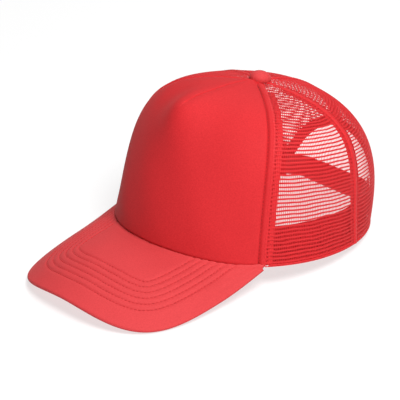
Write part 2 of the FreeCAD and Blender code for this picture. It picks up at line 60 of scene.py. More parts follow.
visor = {
    "slope": math.radians(15.2), "bend": 0.146, "tighten": 0.94, "curl": 0.0079, "curlReach": 0.075,
    "rise": 0.0072, "dip": 0.0047, "dipCorner": 0.001, "dipReach": 0.028,
    "halfWidth": 0.0865, "length": 0.0778, "tail": 0.0442, "widthPower": 2.8, "lengthPower": 4.7,
    "tuck": 0.0021, "halfThickness": 0.0016, "cloth": 0.0006,
    "rows": 6, "firstRow": 0.0166, "rowPitch": 0.00515, "stitchGap": 0.0012, "stitch": 0.0029,
    "groove": 0.0005, "grooveHalf": 0.0007, "valley": 0.0002, "valleyHalf": 0.0019,
    "rootDip": 0.0003, "rootDipHalf": 0.0014, "ripple": 0.00012, "corner": 0.014, "cornerRound": 0.0007,
    "threadSunk": 0.00055, "threadRadius": 0.0003,
}
strap = {
    "hinge": 0.027, "back": 0.0932, "foot": 0.0026, "lean": math.radians(14), "height": 0.017,
    "reach": 0.051, "thickness": 0.001, "gap": 0.0003, "rootAngle": math.radians(142),
    "holeDepth": 0.0023, "pegDepth": 0.0029, "snaps": 6, "pitch": 0.008, "hole": 0.0023,
    "peg": 0.0018, "pegHead": 0.0021, "pegLength": 0.0021, "bendRun": 0.007, "bendHalf": 0.0042,
    "rootEnd": -0.0245, "bead": 0.00002, "gridStep": 0.0011,
}
arch = {"halfWidth": 0.046, "height": 0.052, "netGap": 0.0045}

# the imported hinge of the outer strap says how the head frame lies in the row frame
hinge = {joint["name"]: joint for joint in frame["joints"]}
outerAxis = Vector(hinge["outer_strap_swing"]["axis"])
tip = math.atan2(-outerAxis.y, -outerAxis.z) - strap["lean"]
turn = np.array(Matrix.Rotation(-tip, 3, "X"))
strapOut = np.array([0, math.cos(strap["lean"]), -math.sin(strap["lean"])])
strapUp = np.array([0, math.sin(strap["lean"]), math.cos(strap["lean"])])


def strapFoot(side):
    foot = np.array([side * strap["hinge"], strap["back"], strap["foot"]])
    return foot + strapOut * side * (strap["gap"] + strap["thickness"]) / 2


shift = np.array(hinge["outer_strap_swing"]["pos_m"]) - turn @ strapFoot(1)


def toRow(points):
    return points @ turn.T + shift


# surfaces of the crown


def around(name, angle):
    front, side, back = crown[name]
    level = (front + 2 * side + back) / 4
    return level + (front - back) / 2 * np.cos(angle) + (front - 2 * side + back) / 4 * np.cos(2 * angle)


def crownSkin(angle, share):
    angle, share = np.broadcast_arrays(np.asarray(angle, float), np.asarray(share, float))
    ahead = 0.5 * (1 + np.cos(angle) / np.sqrt(np.cos(angle) ** 2 + 0.02))
    reach = crown["rimFront"] * ahead + crown["rimBack"] * (1 - ahead)
    radius = 1 / np.hypot(np.sin(angle) / crown["rimSide"], np.cos(angle) / reach)
    rest = 1 - share
    low = 3 * share * rest**2
    high = 3 * share**2 * rest
    out = rest**3 + low * (1 + around("lean", angle)) + high * around("spread", angle)
    centre = rest**3 + low + high * around("spread", angle)
    up = low * around("wall", angle) + high * around("shoulder", angle) + share**3
    turned = np.arctan2(np.sin(angle), np.cos(angle)) / crown["peakAngle"]
    climbed = (share - crown["peakShare"]) / crown["peakReach"]
    peak = crown["peakHeight"] * np.exp(-(turned**2) - climbed**2) * math.sqrt(0.5)
    x = radius * out * np.sin(angle)
    y = -radius * out * np.cos(angle) + crown["setback"] * (1 - np.minimum(centre, 1))
    return np.stack([x, y - peak, crown["height"] * up + peak], axis=-1)


def unit(vectors):
    return vectors / np.maximum(np.linalg.norm(vectors, axis=-1, keepdims=True), 1e-12)


def crownNormal(angle, share):
    step = 0.0005
    along = crownSkin(angle + step, share) - crownSkin(angle - step, share)
    upward = crownSkin(angle, share + step) - crownSkin(angle, share - step)
    return unit(np.cross(along, upward))


def crownPoint(angle, share, depth):
    return crownSkin(angle, share) - crownNormal(angle, share) * np.asarray(depth)[..., None]


def lineRadius(angle, share):
    step = 0.0005
    run = crownSkin(angle + step, share) - crownSkin(angle - step, share)
    return np.linalg.norm(run, axis=-1) / (2 * step)


def shareAtHeight(angle, height):
    angle = np.asarray(angle, float)
    low = np.zeros(angle.shape)
    high = np.full(angle.shape, 0.6)
    for _ in range(30):
        middle = (low + high) / 2
        below = crownSkin(angle, middle)[..., 2] < height
        low = np.where(below, middle, low)
        high = np.where(below, high, middle)
    return low


def topShare(angle, radius=crown["buttonHole"]):
    return 1 - radius / crown["rimSide"] / 3 / around("spread", angle)


def frontSeam(share):
    return crown["frontSeam"] + crown["frontTurn"] * share


def rearSeam(share):
    return crown["rearSeam"] + crown["rearTurn"] * share


def backSeam(share):
    return math.pi + 0 * share


def forehead(angle):
    corner = math.cos(crown["frontSeam"])
    return (np.maximum(np.cos(angle) - corner, 0) / (1 - corner)) ** 2


def crownAt(x, z):
    # the angle and share, at the back, of the place with this x and this height
    angle = math.pi - np.arcsin(np.clip(x / crown["rimSide"], -0.95, 0.95))
    share = shareAtHeight(angle, z)
    for _ in range(12):
        here = crownSkin(angle, share)
        byAngle = (crownSkin(angle + 1e-4, share) - here) / 1e-4
        byShare = (crownSkin(angle, share + 1e-4) - here) / 1e-4
        dx = x - here[..., 0]
        dz = z - here[..., 2]
        det = byAngle[..., 0] * byShare[..., 2] - byShare[..., 0] * byAngle[..., 2]
        angle = angle + (dx * byShare[..., 2] - byShare[..., 0] * dz) / det
        share = share + (byAngle[..., 0] * dz - dx * byAngle[..., 2]) / det
    return angle, share


def rounded(distance, radius):
    # how far a face has sunk at this distance from a rounded edge
    inside = np.clip(radius - distance, 0, radius)
    return 0.97 * (radius - np.sqrt(radius**2 - inside**2))


def bump(distance, width):
    return np.exp(-((distance / width) ** 2))


def smooth(low, high, value):
    part = np.clip((value - low) / (high - low), 0, 1)
    return part * part * (3 - 2 * part)


def spread(first, last, count, power=1.0):
    # numbers from first to last, closer together at both ends when power is above one
    part = np.linspace(-1, 1, count)
    part = np.sign(part) * (1 - (1 - np.abs(part)) ** power)
    return first + (last - first) * (part + 1) / 2


# meshes


def lengthsAlong(line):
    return np.concatenate([[0], np.cumsum(np.linalg.norm(np.diff(line, axis=0), axis=1))])


def cellAreas(points):
    one = points[1:, 1:] - points[:-1, :-1]
    two = points[1:, :-1] - points[:-1, 1:]
    return np.linalg.norm(np.cross(one, two), axis=2) / 2


def gridFaces(index):
    return np.stack([index[:-1, :-1], index[:-1, 1:], index[1:, 1:], index[1:, :-1]], -1).reshape(-1, 4)


def gridLengths(points):
    across = np.linalg.norm(np.diff(points, axis=1), axis=2)
    up = np.linalg.norm(np.diff(points, axis=0), axis=2)
    u = np.zeros(points.shape[:2])
    v = np.zeros(points.shape[:2])
    u[:, 1:] = np.cumsum(across, axis=1)
    v[1:] = np.cumsum(up, axis=0)
    return np.stack([u - u[:, [u.shape[1] // 2]], v], -1)


def closedSheet(outer, inner):
    # points, faces and flat cloth coordinates of a closed sheet between two grids of points
    count = outer.shape[0] * outer.shape[1]
    index = np.arange(count).reshape(outer.shape[:2])
    rim = np.concatenate([index[0], index[1:, -1], index[-1, -2::-1], index[-2:0:-1, 0]])
    after = np.roll(rim, -1)
    sides = np.stack([after, rim, rim + count, after + count], -1)
    faces = np.concatenate([gridFaces(index), gridFaces(index)[:, ::-1] + count, sides])
    lengths = gridLengths(outer).reshape(-1, 2)
    points = np.concatenate([outer.reshape(-1, 3), inner.reshape(-1, 3)])
    return points, faces, np.concatenate([lengths, lengths])


def join(*parts):
    points, faces, cloth, base = [], [], [], 0
    for part in parts:
        points.append(part[0])
        faces.append(part[1] + base)
        cloth.append(part[2])
        base += len(part[0])
    return np.concatenate(points), np.concatenate(faces), np.concatenate(cloth)


def mirrored(part):
    return part[0] * [-1, 1, 1], part[1][:, ::-1], part[2] * [-1, 1]


def makePiece(name, part, material, body="cap", replaces=(), crease=50, placed=False):
    points, faces, cloth = part
    mesh = bpy.data.meshes.new(name)
    mesh.from_pydata(points if placed else toRow(points), [], faces)
    layer = mesh.uv_layers.new(name="cloth")
    corner = np.zeros(len(mesh.loops), np.int32)
    mesh.loops.foreach_get("vertex_index", corner)
    layer.data.foreach_set("uv", cloth[corner].astype(np.float32).ravel())
    mesh.shade_smooth()
    mesh.set_sharp_from_angle(angle=math.radians(crease))
    mesh.materials.append(material)
    mesh.update()
    piece = bpy.data.objects.new(name, mesh)
    bpy.context.scene.collection.objects.link(piece)
    if body:
        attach(piece, body)
    if replaces:
        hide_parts(*replaces)
    return piece


def declareCloth(piece, middle):
    # the flat cut of a sheet, from the lengths and the area of its middle face
    lengths = gridLengths(middle)
    width = float(np.ptp(lengths[..., 0], axis=1).max())
    length = float(np.ptp(lengths[..., 1], axis=0).max())
    area = float(cellAreas(middle).sum())
    area = min(max(area, 0.31 * width * length), width * length)
    print(f"{piece.name}: cut {width * 1000:.0f} x {length * 1000:.0f} mm, {area * 10000:.1f} square cm")


def resample(line, count):
    travelled = lengthsAlong(line)
    even = np.linspace(0, travelled[-1], count)
    return np.stack([np.interp(even, travelled, line[:, k]) for k in range(line.shape[1])], -1)


thread = {"pitch": 0.0027, "radius": 0.00027, "filled": 0.8}


def stitches(path, normals, pitch=thread["pitch"], radius=thread["radius"]):
    # one row of thread: a short rounded length above the cloth between each pair of needle holes
    travelled = lengthsAlong(path)
    count = max(int(travelled[-1] / pitch), 1)
    rings, sides = 7, 6
    part = np.linspace(-1, 1, rings)
    reached = (np.arange(count)[:, None] + 0.5 + part * thread["filled"] / 2) * travelled[-1] / count
    centre = np.stack([np.interp(reached, travelled, path[:, k]) for k in range(3)], -1)
    up = unit(np.stack([np.interp(reached, travelled, normals[:, k]) for k in range(3)], -1))
    along = unit(np.gradient(centre, axis=1))
    across = unit(np.cross(along, up))
    width = radius * np.sqrt(1 - 0.8 * part**2)
    lift = radius * (0.45 - 1.3 * part**4)
    circle = np.arange(sides) * 2 * math.pi / sides
    high = (lift[:, None] + width[:, None] * np.cos(circle))[..., None]
    wide = (width[:, None] * np.sin(circle))[..., None]
    points = centre[:, :, None] + up[:, :, None] * high + across[:, :, None] * wide
    index = np.arange(count * rings * sides).reshape(count, rings, sides)
    after = np.roll(index, -1, axis=2)
    tube = np.stack([index[:, :-1], index[:, 1:], after[:, 1:], after[:, :-1]], -1).reshape(-1, 4)
    ends = [index[:, 0][:, [0, 1, 2, 3]], index[:, 0][:, [0, 3, 4, 5]]]
    ends += [index[:, -1][:, [3, 2, 1, 0]], index[:, -1][:, [5, 4, 3, 0]]]
    points = points.reshape(-1, 3)
    return points, np.concatenate([tube, *ends]), points[:, :2].copy()


def crownStitches(angle, share, depth, pitch=thread["pitch"], inside=False):
    normals = crownNormal(angle, share) * (-1 if inside else 1)
    return stitches(crownPoint(angle, share, depth), normals, pitch)


# materials


class Field:
    def __init__(self, shader, socket):
        self.shader = shader
        self.socket = socket

    def math(self, kind, first, second):
        return self.shader.node("ShaderNodeMath", {"operation": kind}, {0: first, 1: second})

    def __add__(self, other):
        return self.math("ADD", self, other)

    def __sub__(self, other):
        return self.math("SUBTRACT", self, other)

    def __mul__(self, other):
        return self.math("MULTIPLY", self, other)


class Shader:
    def __init__(self, name):
        self.material = bpy.data.materials.new(name)
        self.material.use_nodes = True
        self.tree = self.material.node_tree
        self.surface = self.tree.nodes["Principled BSDF"]

    def give(self, socket, value):
        if isinstance(value, Field):
            self.tree.links.new(value.socket, socket)
        else:
            socket.default_value = value

    def node(self, kind, settings, values, output=0):
        node = self.tree.nodes.new(kind)
        for name, value in settings.items():
            setattr(node, name, value)
        for key, value in values.items():
            self.give(node.inputs[key], value)
        return Field(self, node.outputs[output])

    def finish(self, **values):
        for name, value in values.items():
            self.give(self.surface.inputs[name.replace("_", " ")], value)
        return self.material


def noise(shader, place, scale, detail):
    return shader.node("ShaderNodeTexNoise", {}, {"Vector": place, "Scale": scale, "Detail": detail})


def bumped(shader, height, strength, distance):
    inputs = {"Height": height, "Strength": strength, "Distance": distance}
    return shader.node("ShaderNodeBump", {}, inputs)


def mixed(shader, amount, one, other):
    return shader.node("ShaderNodeMix", {"data_type": "RGBA"}, {0: amount, 6: one, 7: other}, output=2)


# sizes of the noises that all cloth shares
clothNoise = {"fuzz": 900.0, "patches": 45.0, "grain": 1100.0, "yarnWaves": 0.314, "bumpDistance": 0.0002}


def clothMaterial(name, look):
    # woven or knitted cloth: two crossed sets of yarns, worn unevenly, with a little fuzz
    shader = Shader(name)
    cloth = shader.node("ShaderNodeUVMap", {"uv_map": "cloth"}, {})
    place = shader.node("ShaderNodeTexCoord", {}, {}, output=3)
    yarns = []
    for way in ("X", "Y"):
        wave = {"wave_type": "BANDS", "bands_direction": way}
        scale = clothNoise["yarnWaves"] / look["yarn"]
        inputs = {"Vector": cloth, "Scale": scale, "Distortion": 0.6}
        yarns.append(shader.node("ShaderNodeTexWave", wave, inputs, 1))
    fuzz = noise(shader, place, clothNoise["fuzz"], 4.0)
    patches = noise(shader, place, clothNoise["patches"], 3.0)
    weave = yarns[0] * yarns[1]
    height = weave * look["weave"] + fuzz * look["fuzz"]
    grain = noise(shader, place, clothNoise["grain"], 2.0)
    grain = (grain - 0.5) * look["grain"] + 0.5
    shade = (weave * 0.25 + grain * 0.55 + patches * 0.2) * look["uneven"] + 0.5 * (1 - look["uneven"])
    colour = mixed(shader, shade, look["dark"], look["light"])
    normal = bumped(shader, height, look["bump"], clothNoise["bumpDistance"])
    rough = patches * 0.1 + (look["rough"] - 0.05)
    sheen = {"Sheen_Weight": look["sheen"], "Sheen_Roughness": 0.45, "Sheen_Tint": look["sheenTint"]}
    skin = {"Roughness": rough, "Normal": normal, "Specular_IOR_Level": look["gloss"]}
    return shader.finish(Base_Color=colour, **skin, **sheen)


def red(level, pale=0.017):
    return (0.65 * level, 0.87 * pale * level, (0.87 * pale + 0.005) * level, 1)


plainCloth = {
    "yarn": 0.0004, "weave": 0.5, "fuzz": 0.5, "bump": 0.25, "grain": 3.2, "uneven": 0.65, "rough": 0.75,
    "gloss": 0.25, "sheen": 0.05, "sheenTint": (1, 0.6, 0.55, 1),
    "dark": red(0.78, 0.014), "light": red(1.08, 0.024),
}


def style(**changes):
    return {**plainCloth, **changes}


foamRed = {"dark": red(0.73, 0.018), "light": red(1.01, 0.03)}
# the visor's red is paler in green and blue than the foam panel's: the cloth's own red with a painted
# sheen for the haze the visor top catches from the back lamp; the button cloth shares it
visorRedPaintedSheen = {"dark": red(0.81, 0.046), "light": red(1.03, 0.062)}
foamStyle = style(yarn=0.00035, weave=0.25, bump=0.18, gloss=0.2, sheen=0.03, **foamRed)
foamFace = clothMaterial("foam_face", foamStyle)
visorFace = clothMaterial("visor_face_painted_sheen", style(yarn=0.00045, **visorRedPaintedSheen))
meshYarn = clothMaterial("mesh_yarn", style(yarn=0.0003, uneven=0.7, rough=0.6, bump=0.4))
# the tape's red is brighter than the cloth's: painted light to offset the shade the tapes lie in behind
# the mesh; the hem strip shares it
tapeRedPaintedLight = {"dark": red(1.0, 0.02), "light": red(1.25, 0.03)}
tapeCloth = clothMaterial("tape_weave_painted_light", style(yarn=0.0006, weave=1.0, bump=0.5, **tapeRedPaintedLight))
bindingCloth = clothMaterial("binding_weave", style(yarn=0.0005, weave=0.9, bump=0.45))
bandCloth = clothMaterial("band_twill", style(yarn=0.0008, weave=1.0, bump=0.5, rough=0.9))
# the topstitch thread on the front panel is much darker than the cloth: painted shade for the crease the
# stitches sit in
threadPaintedCreaseShade = clothMaterial("foam_thread_painted_shade", style(yarn=0.0003, rough=0.6, dark=red(0.45), light=red(0.6)))
# the sewing thread is the cloth's red darkened as painted shade for the grooves the stitches lie in
threadRedPaintedShade = {"dark": red(0.66, 0.02), "light": red(0.95, 0.035)}
threadCloth = clothMaterial("sewing_thread_painted_shade", style(yarn=0.0003, rough=0.5, **threadRedPaintedShade))


def plasticMaterial(name, colour, rough):
    shader = Shader(name)
    place = shader.node("ShaderNodeTexCoord", {}, {}, output=3)
    grain = noise(shader, place, 700.0, 3.0)
    wear = noise(shader, place, 60.0, 2.0)
    normal = bumped(shader, grain, 0.12, 0.0001)
    return shader.finish(Base_Color=colour, Roughness=wear * 0.16 + rough, Normal=normal)


def metalMaterial(name, colour):
    shader = Shader(name)
    place = shader.node("ShaderNodeTexCoord", {}, {}, output=3)
    grain = noise(shader, place, 900.0, 2.0)
    normal = bumped(shader, grain, 0.1, 0.0001)
    return shader.finish(Base_Color=colour, Metallic=1.0, Roughness=grain * 0.2 + 0.25, Normal=normal)


strapPlastic = plasticMaterial("strap_plastic", red(0.9), 0.32)
boardPlastic = plasticMaterial("board_plastic", (0.8, 0.8, 0.78, 1), 0.5)
buttonMetal = metalMaterial("button_metal", (0.62, 0.62, 0.63, 1))
print("materials made")

# surfaces of the visor


def visorBend(ahead):
    return visor["bend"] * (1 - visor["tighten"] * ahead)


def visorDrop(across, ahead):
    bend = visorBend(ahead)
    curl = visor["curl"] * ahead * np.abs(ahead) / visor["curlReach"] ** 2
    return bend * (1 - np.cos(across / bend)) + curl


def visorSheet(across, ahead):
    bend = visorBend(ahead)
    drop = visorDrop(across, ahead)
    x = bend * np.sin(across / bend)
    y = -crown["rimFront"] - ahead * math.cos(visor["slope"]) + drop * math.sin(visor["slope"])
    z = visor["rise"] - ahead * math.sin(visor["slope"]) - drop * math.cos(visor["slope"])
    fromCrown = crown["rimFront"] * (np.hypot(x / crown["rimSide"], y / crown["rimFront"]) - 1)
    dip = visor["dip"] * forehead(np.arctan2(x, -y)) - visor["dipCorner"]
    return np.stack([x, y, z - dip * bump(fromCrown, visor["dipReach"])], -1)


def visorPoint(across, ahead, lift):
    step = 0.00005
    wide = visorSheet(across + step, ahead) - visorSheet(across - step, ahead)
    deep = visorSheet(across, ahead + step) - visorSheet(across, ahead - step)
    normal = unit(np.cross(deep, wide))
    normal = normal * np.sign(normal[..., 2:])
    return visorSheet(across, ahead) + normal * np.asarray(lift)[..., None], normal


def visorSeamHeight(angle):
    # height of the visor's top cloth where it meets the crown
    root = visorRoot(np.clip(angle, -crown["frontSeam"], crown["frontSeam"]), 0.0)
    return visorPoint(root[..., 0], root[..., 1], np.full(angle.shape, visor["halfThickness"]))[0][..., 2]


def visorRoot(angle, gap):
    x = (crown["rimSide"] + gap) * np.sin(angle)
    y = -(crown["rimFront"] + gap) * np.cos(angle)
    ahead = np.zeros(angle.shape)
    for _ in range(14):
        across = visorBend(ahead) * np.arcsin(x / visorBend(ahead))
        drop = visorDrop(across, ahead)
        ahead = (-crown["rimFront"] - y + drop * math.sin(visor["slope"])) / math.cos(visor["slope"])
    return np.stack([across, ahead], -1)


# front panel

panel = {
    "thickness": 0.0026, "seamGap": 0.0003, "edge": 0.0013, "foot": 0.0025, "stitch": 0.0042,
    "groove": 0.001, "pinch": 0.0006, "puff": 0.0004, "dart": 0.0012, "dartReach": 0.008,
    "waves": 0.00035, "pucker": 0.00006, "edgeZone": 0.009, "dartZone": 0.006, "footGap": 0.0003,
    "grooveHalf": 0.0007, "pinchHalf": 0.003, "puffAt": 0.002, "puffHalf": 0.0014, "dartLine": 0.0006,
    "dartUnderButton": (0.004, 0.022), "rows": 170,
}


def panelGrid():
    # angles and shares of the panel's grid, denser beside the seams, the dart and the foot
    climb = spread(0, 1, panel["rows"], 1.6)[:, None]
    edgeSteps = np.linspace(0, 1, 30)
    middleSteps = np.linspace(0, 1, 40)[1:-1]
    share = 0.9 * climb
    for final in (False, False, True):
        seam = frontSeam(share) - panel["seamGap"] / lineRadius(frontSeam(share), share)
        seamRadius = lineRadius(seam, share)
        middleRadius = lineRadius(0.0, share)
        edgeZone = np.minimum(panel["edgeZone"] / seamRadius, 0.42 * seam)
        centreZone = np.minimum(panel["dartZone"] / middleRadius, 0.25 * seam)
        inner = centreZone * edgeSteps
        outer = seam - edgeZone * (1 - edgeSteps)
        between = inner[:, -1:] + (outer[:, :1] - inner[:, -1:]) * middleSteps
        half = np.concatenate([inner, between, outer], axis=1)
        angle = np.concatenate([-half[:, :0:-1], half], axis=1)
        foot = shareAtHeight(angle, visorSeamHeight(angle) + panel["footGap"])
        share = foot * (1 - climb) + topShare(angle) * climb
        if not final:
            share = share.mean(axis=1, keepdims=True)
    fromSeam = (seam - np.abs(angle)) * seamRadius
    fromMiddle = np.abs(angle) * middleRadius
    return angle, share, fromSeam, fromMiddle


def makeFrontPanel():
    angle, share, fromSeam, fromMiddle = panelGrid()
    lengths = gridLengths(crownSkin(angle, share))
    fromFoot = lengths[..., 1]
    fromTop = fromFoot[-1] - fromFoot
    edge = np.minimum(fromSeam, fromFoot)
    sunk = rounded(fromSeam, panel["edge"])
    tucked = rounded(fromFoot, panel["foot"])
    fade = smooth(0.002, 0.012, fromTop)
    groove = panel["groove"] * bump(fromSeam - panel["stitch"], panel["grooveHalf"])
    pinch = panel["pinch"] * bump(fromSeam - panel["stitch"], panel["pinchHalf"])
    puff = panel["puff"] * bump(fromSeam - panel["puffAt"], panel["puffHalf"])
    dartFade = smooth(crown["peakShare"] - 0.02, crown["peakShare"] + 0.06, share)
    valley = 0.7 * bump(fromMiddle, panel["dartLine"]) + 1.3 * np.exp(-fromMiddle / panel["dartReach"])
    dart = dartFade * panel["dart"] * valley
    # the dart runs out under the button
    dart *= 0.3 + 0.7 * smooth(*panel["dartUnderButton"], fromTop)
    across = lengths[..., 0]
    waves = np.sin(across * 75 + 1.3) * np.sin(fromFoot * 60 + 0.4)
    waves += 0.6 * np.sin(across * 140 + fromFoot * 90 + 2.0)
    waves *= panel["waves"] * smooth(0.0, 0.02, edge)
    pucker = panel["pucker"] * np.sin(across * 2 * math.pi / 0.011) * bump(fromFoot - 0.002, 0.005)
    outer = np.maximum(sunk, tucked) + (groove + pinch - puff) * fade + dart + waves + pucker
    inner = panel["thickness"] - sunk * 0.95 + waves
    inner = np.maximum(inner, outer + 0.00005)
    part = closedSheet(crownPoint(angle, share, outer), crownPoint(angle, share, inner))
    piece = makePiece("front_panel_foam", part, foamFace, replaces=("front_panel",))
    rows = []
    climb = np.linspace(0, 1, 400)
    for side in (-1, 1):
        line = shareAtHeight(np.array(frontSeam(0.0)), 0.0) + (topShare(1.1) - 0.03) * climb
        seam = frontSeam(line) - (panel["stitch"] + panel["seamGap"]) / lineRadius(frontSeam(line), line)
        depth = np.full(line.shape, panel["groove"] + panel["pinch"] - 0.0002)
        rows.append(crownStitches(side * seam, line, depth))
    makePiece("front_panel_topstitch", join(*rows), threadPaintedCreaseShade)


makeFrontPanel()
print("front panel made")

# mesh panels

netting = {
    "pitch": 0.00145, "rowPitch": 0.0028, "depth": 0.0006, "band": 0.00022, "thread": 0.00014,
    "holeWide": 0.35, "holeTall": 0.32, "sway": 0.00022, "drift": 0.0003, "seamGap": 0.0004,
    "narrowest": 0.0003,
}


def meshPanel(near, far, cutArch):
    middleShare = np.linspace(0, 0.993, 600)
    middle = crownSkin((near(middleShare) + far(middleShare)) / 2, middleShare)
    climbed = lengthsAlong(middle)
    rowCount = int(climbed[-1] / netting["rowPitch"])
    levels = np.arange(2 * rowCount + 1)
    share = np.interp(levels * netting["rowPitch"] / 2, climbed, middleShare)
    low, high = near(share), far(share)
    low = low + netting["seamGap"] / lineRadius(low, share)
    high = high - netting["seamGap"] / lineRadius(high, share)
    part = np.linspace(0, 1, 81)
    angles = low[:, None] * (1 - part) + high[:, None] * part
    points = crownSkin(angles, share[:, None])
    travelled = np.zeros(angles.shape)
    travelled[:, 1:] = np.cumsum(np.linalg.norm(np.diff(points, axis=1), axis=2), axis=1)
    half = travelled[:, -1] / 2
    columnCount = int(math.ceil(half.max() / netting["pitch"])) + 1
    columns = np.arange(-2 * columnCount, 2 * columnCount + 1)
    wanted = columns * netting["pitch"] / 2
    angle = np.zeros((len(levels), len(columns)))
    for k in range(len(levels)):
        drift = netting["drift"] * math.sin(k * 0.37)
        reached = np.clip(wanted + drift, -half[k], half[k]) + half[k]
        angle[k] = np.interp(reached, travelled[k], angles[k])
    run = angle * 0.09
    level = levels[:, None]
    sway = np.sin(run * 210 + level * 0.13) + 0.6 * np.sin(run * 520 + level * 0.9)
    sway *= netting["sway"] * smooth(0, 8, level)
    shares = share[:, None] + sway / climbed[-1]
    middlePoints = crownPoint(angle, shares, np.full(angle.shape, netting["depth"]))
    normals = crownNormal(angle, shares)
    crest = np.where(levels % 2 == 0, netting["band"], netting["thread"])[:, None, None]
    outer = middlePoints + normals * crest
    inner = middlePoints - normals * crest
    # cells between two bands and two threads, named by their lowest corner
    corner = middlePoints[0::2, 0::2]
    wide = np.linalg.norm(corner[:-1, 1:] - corner[:-1, :-1], axis=2)
    wide += np.linalg.norm(corner[1:, 1:] - corner[1:, :-1], axis=2)
    keep = wide / 2 > netting["narrowest"]
    if cutArch:
        centre = middlePoints[1::2, 1::2]
        sideways = centre[..., 0] / (arch["halfWidth"] + arch["netGap"])
        upwards = centre[..., 2] / (arch["height"] + arch["netGap"])
        keep &= ~((np.hypot(sideways, upwards) < 1) & (centre[..., 1] > 0))
    levelCount, columnTotal = angle.shape
    total = levelCount * columnTotal
    grid = np.arange(total).reshape(levelCount, columnTotal)
    row, cell = np.nonzero(keep)
    k, i = 2 * row, 2 * cell
    walk = [(0, 0), (0, 1), (0, 2), (1, 2), (2, 2), (2, 1), (2, 0), (1, 0)]
    border = np.stack([grid[k + a, i + b] for a, b in walk], -1)
    holes = []
    for a, b in walk:
        rounding = 0.8 if a != 1 and b != 1 else 1.0
        q = 0.5 + (a - 1) * netting["holeTall"] * rounding
        p = 0.5 + (b - 1) * netting["holeWide"] * rounding
        lower = middlePoints[k, i] * (1 - p) + middlePoints[k, i + 2] * p
        upper = middlePoints[k + 2, i] * (1 - p) + middlePoints[k + 2, i + 2] * p
        holes.append(lower * (1 - q) + upper * q)
    holes = np.stack(holes, 1)
    ring = 2 * total + np.arange(holes.shape[0] * 8).reshape(-1, 8)
    nextBorder, nextRing = np.roll(border, -1, axis=1), np.roll(ring, -1, axis=1)
    faces = [np.stack([border, nextBorder, nextRing, ring], -1).reshape(-1, 4)]
    faces.append(np.stack([nextBorder + total, border + total, ring, nextRing], -1).reshape(-1, 4))
    # where a cell has no neighbour its side is closed
    beside = np.pad(keep, 1)
    for slot, (stepRow, stepCell) in ((0, (-1, 0)), (2, (0, 1)), (4, (1, 0)), (6, (0, -1))):
        open_ = ~beside[row + 1 + stepRow, cell + 1 + stepCell]
        for first in (slot, slot + 1):
            a = border[open_, first]
            b = border[open_, (first + 1) % 8]
            faces.append(np.stack([b, a, a + total, b + total], -1))
    faces = np.concatenate(faces)
    points = np.concatenate([outer.reshape(-1, 3), inner.reshape(-1, 3), holes.reshape(-1, 3)])
    used = np.unique(faces)
    fresh = np.zeros(len(points), int)
    fresh[used] = np.arange(len(used))
    points = points[used]
    flat = np.stack([points[:, 0] + points[:, 1], points[:, 2]], -1)
    return (points, fresh[faces], flat), middlePoints[::2, ::2], keep


def makeMeshPanels():
    panels = (("side", frontSeam, rearSeam, False), ("back", rearSeam, backSeam, True))
    for name, near, far, cutArch in panels:
        part, middle, keep = meshPanel(near, far, cutArch)
        print(f"{name} mesh: {int(keep.sum())} holes, {len(part[1])} faces")
        area = float(cellAreas(middle)[keep].sum())
        width = float(np.linalg.norm(np.diff(middle, axis=1), axis=2).sum(axis=1).max())
        length = float(np.linalg.norm(np.diff(middle, axis=0), axis=2).sum(axis=0).max())
        for side, label in ((1, "left"), (-1, "right")):
            shown = part if side > 0 else mirrored(part)
            nodes = (f"{name}_mesh_{label}",)
            piece = makePiece(f"{name}_netting_{label}", shown, meshYarn, replaces=nodes, crease=75)
            size = f"{width * 1000:.0f} x {length * 1000:.0f} mm, {area * 10000:.1f} square cm"
            print(f"{piece.name}: cut {size}")


makeMeshPanels()

# seam folds, tapes, hem and sweatband

trim = {
    "tapeHalf": 0.006, "tapeThickness": 0.0005, "tapeTop": 0.92,
    "behindFoam": 0.0028, "behindMesh": 0.00095,
    "foldHalf": 0.002, "foldHigh": 0.0001, "foldTop": 0.985, "meshFace": 0.0007, "foldWobble": 0.13,
    "rowsAside": 0.0034, "threadOutside": 0.0004, "threadInside": 0.0015, "threadBehindFoam": 0.0034,
    "hemDepth": 0.0019, "hemHeight": 0.009, "hemThickness": 0.0008, "hemCut": 0.0102, "hemFlat": 0.0088,
    "hemStart": 0.0065, "rollStart": 0.003, "rollWobble": 0.07,
    "roll": 0.00075, "rollHigh": 0.00085, "rollTaller": 1.1,
    "bandDepth": 0.0036, "bandThickness": 0.0014, "bandHeight": 0.028, "bandFoot": 0.0006,
    "bandLean": 0.0006, "bandWave": 0.0004, "bandPinch": 0.00025, "bandRows": (0.0035, 0.0255),
    "bandStitch": 0.0031,
}


def stripGrid(seam, left, right, shares, columns):
    # a strip beside a seam line, from left to right in metres across it
    share = shares[:, None]
    across = np.linspace(left, right, columns)[None, :]
    angle = seam(share) + across / lineRadius(seam(share), share)
    return angle, np.broadcast_to(share, angle.shape), np.broadcast_to(across, angle.shape)


def bothSides(name, part, material, nodes, middle=None):
    made = []
    for side, label in ((1, "left"), (-1, "right")):
        shown = part if side > 0 else mirrored(part)
        replaced = [node + "_" + label for node in nodes]
        piece = makePiece(f"{name}_{label}", shown, material, replaces=replaced)
        if middle is not None:
            declareCloth(piece, middle * [side, 1, 1])
        made.append(piece)
    return made


def seamFold(seam, low):
    # the turned seam allowance: doubled mesh drawn into a low puckered ridge over the joint of two panels
    shares = np.linspace(low, trim["foldTop"], 260)
    angle, share, across = stripGrid(seam, -trim["foldHalf"], trim["foldHalf"], shares, 13)
    ridge = np.sqrt(np.maximum(1 - (across / trim["foldHalf"]) ** 2, 0))
    wobble = 1 + trim["foldWobble"] * np.sin(share * 330) * np.cos(across * 3000)
    outer = trim["meshFace"] - (trim["foldHigh"] + trim["meshFace"]) * ridge * wobble
    inner = 0.0008 + 0.0004 * ridge
    return closedSheet(crownPoint(angle, share, outer), crownPoint(angle, share, inner))


def seamStitches(seam, offset, depth, low, high, inside=False):
    share = np.linspace(low, high, 500)
    angle = seam(share) + offset / lineRadius(seam(share), share)
    return crownStitches(angle, share, np.full(share.shape, depth), inside=inside)


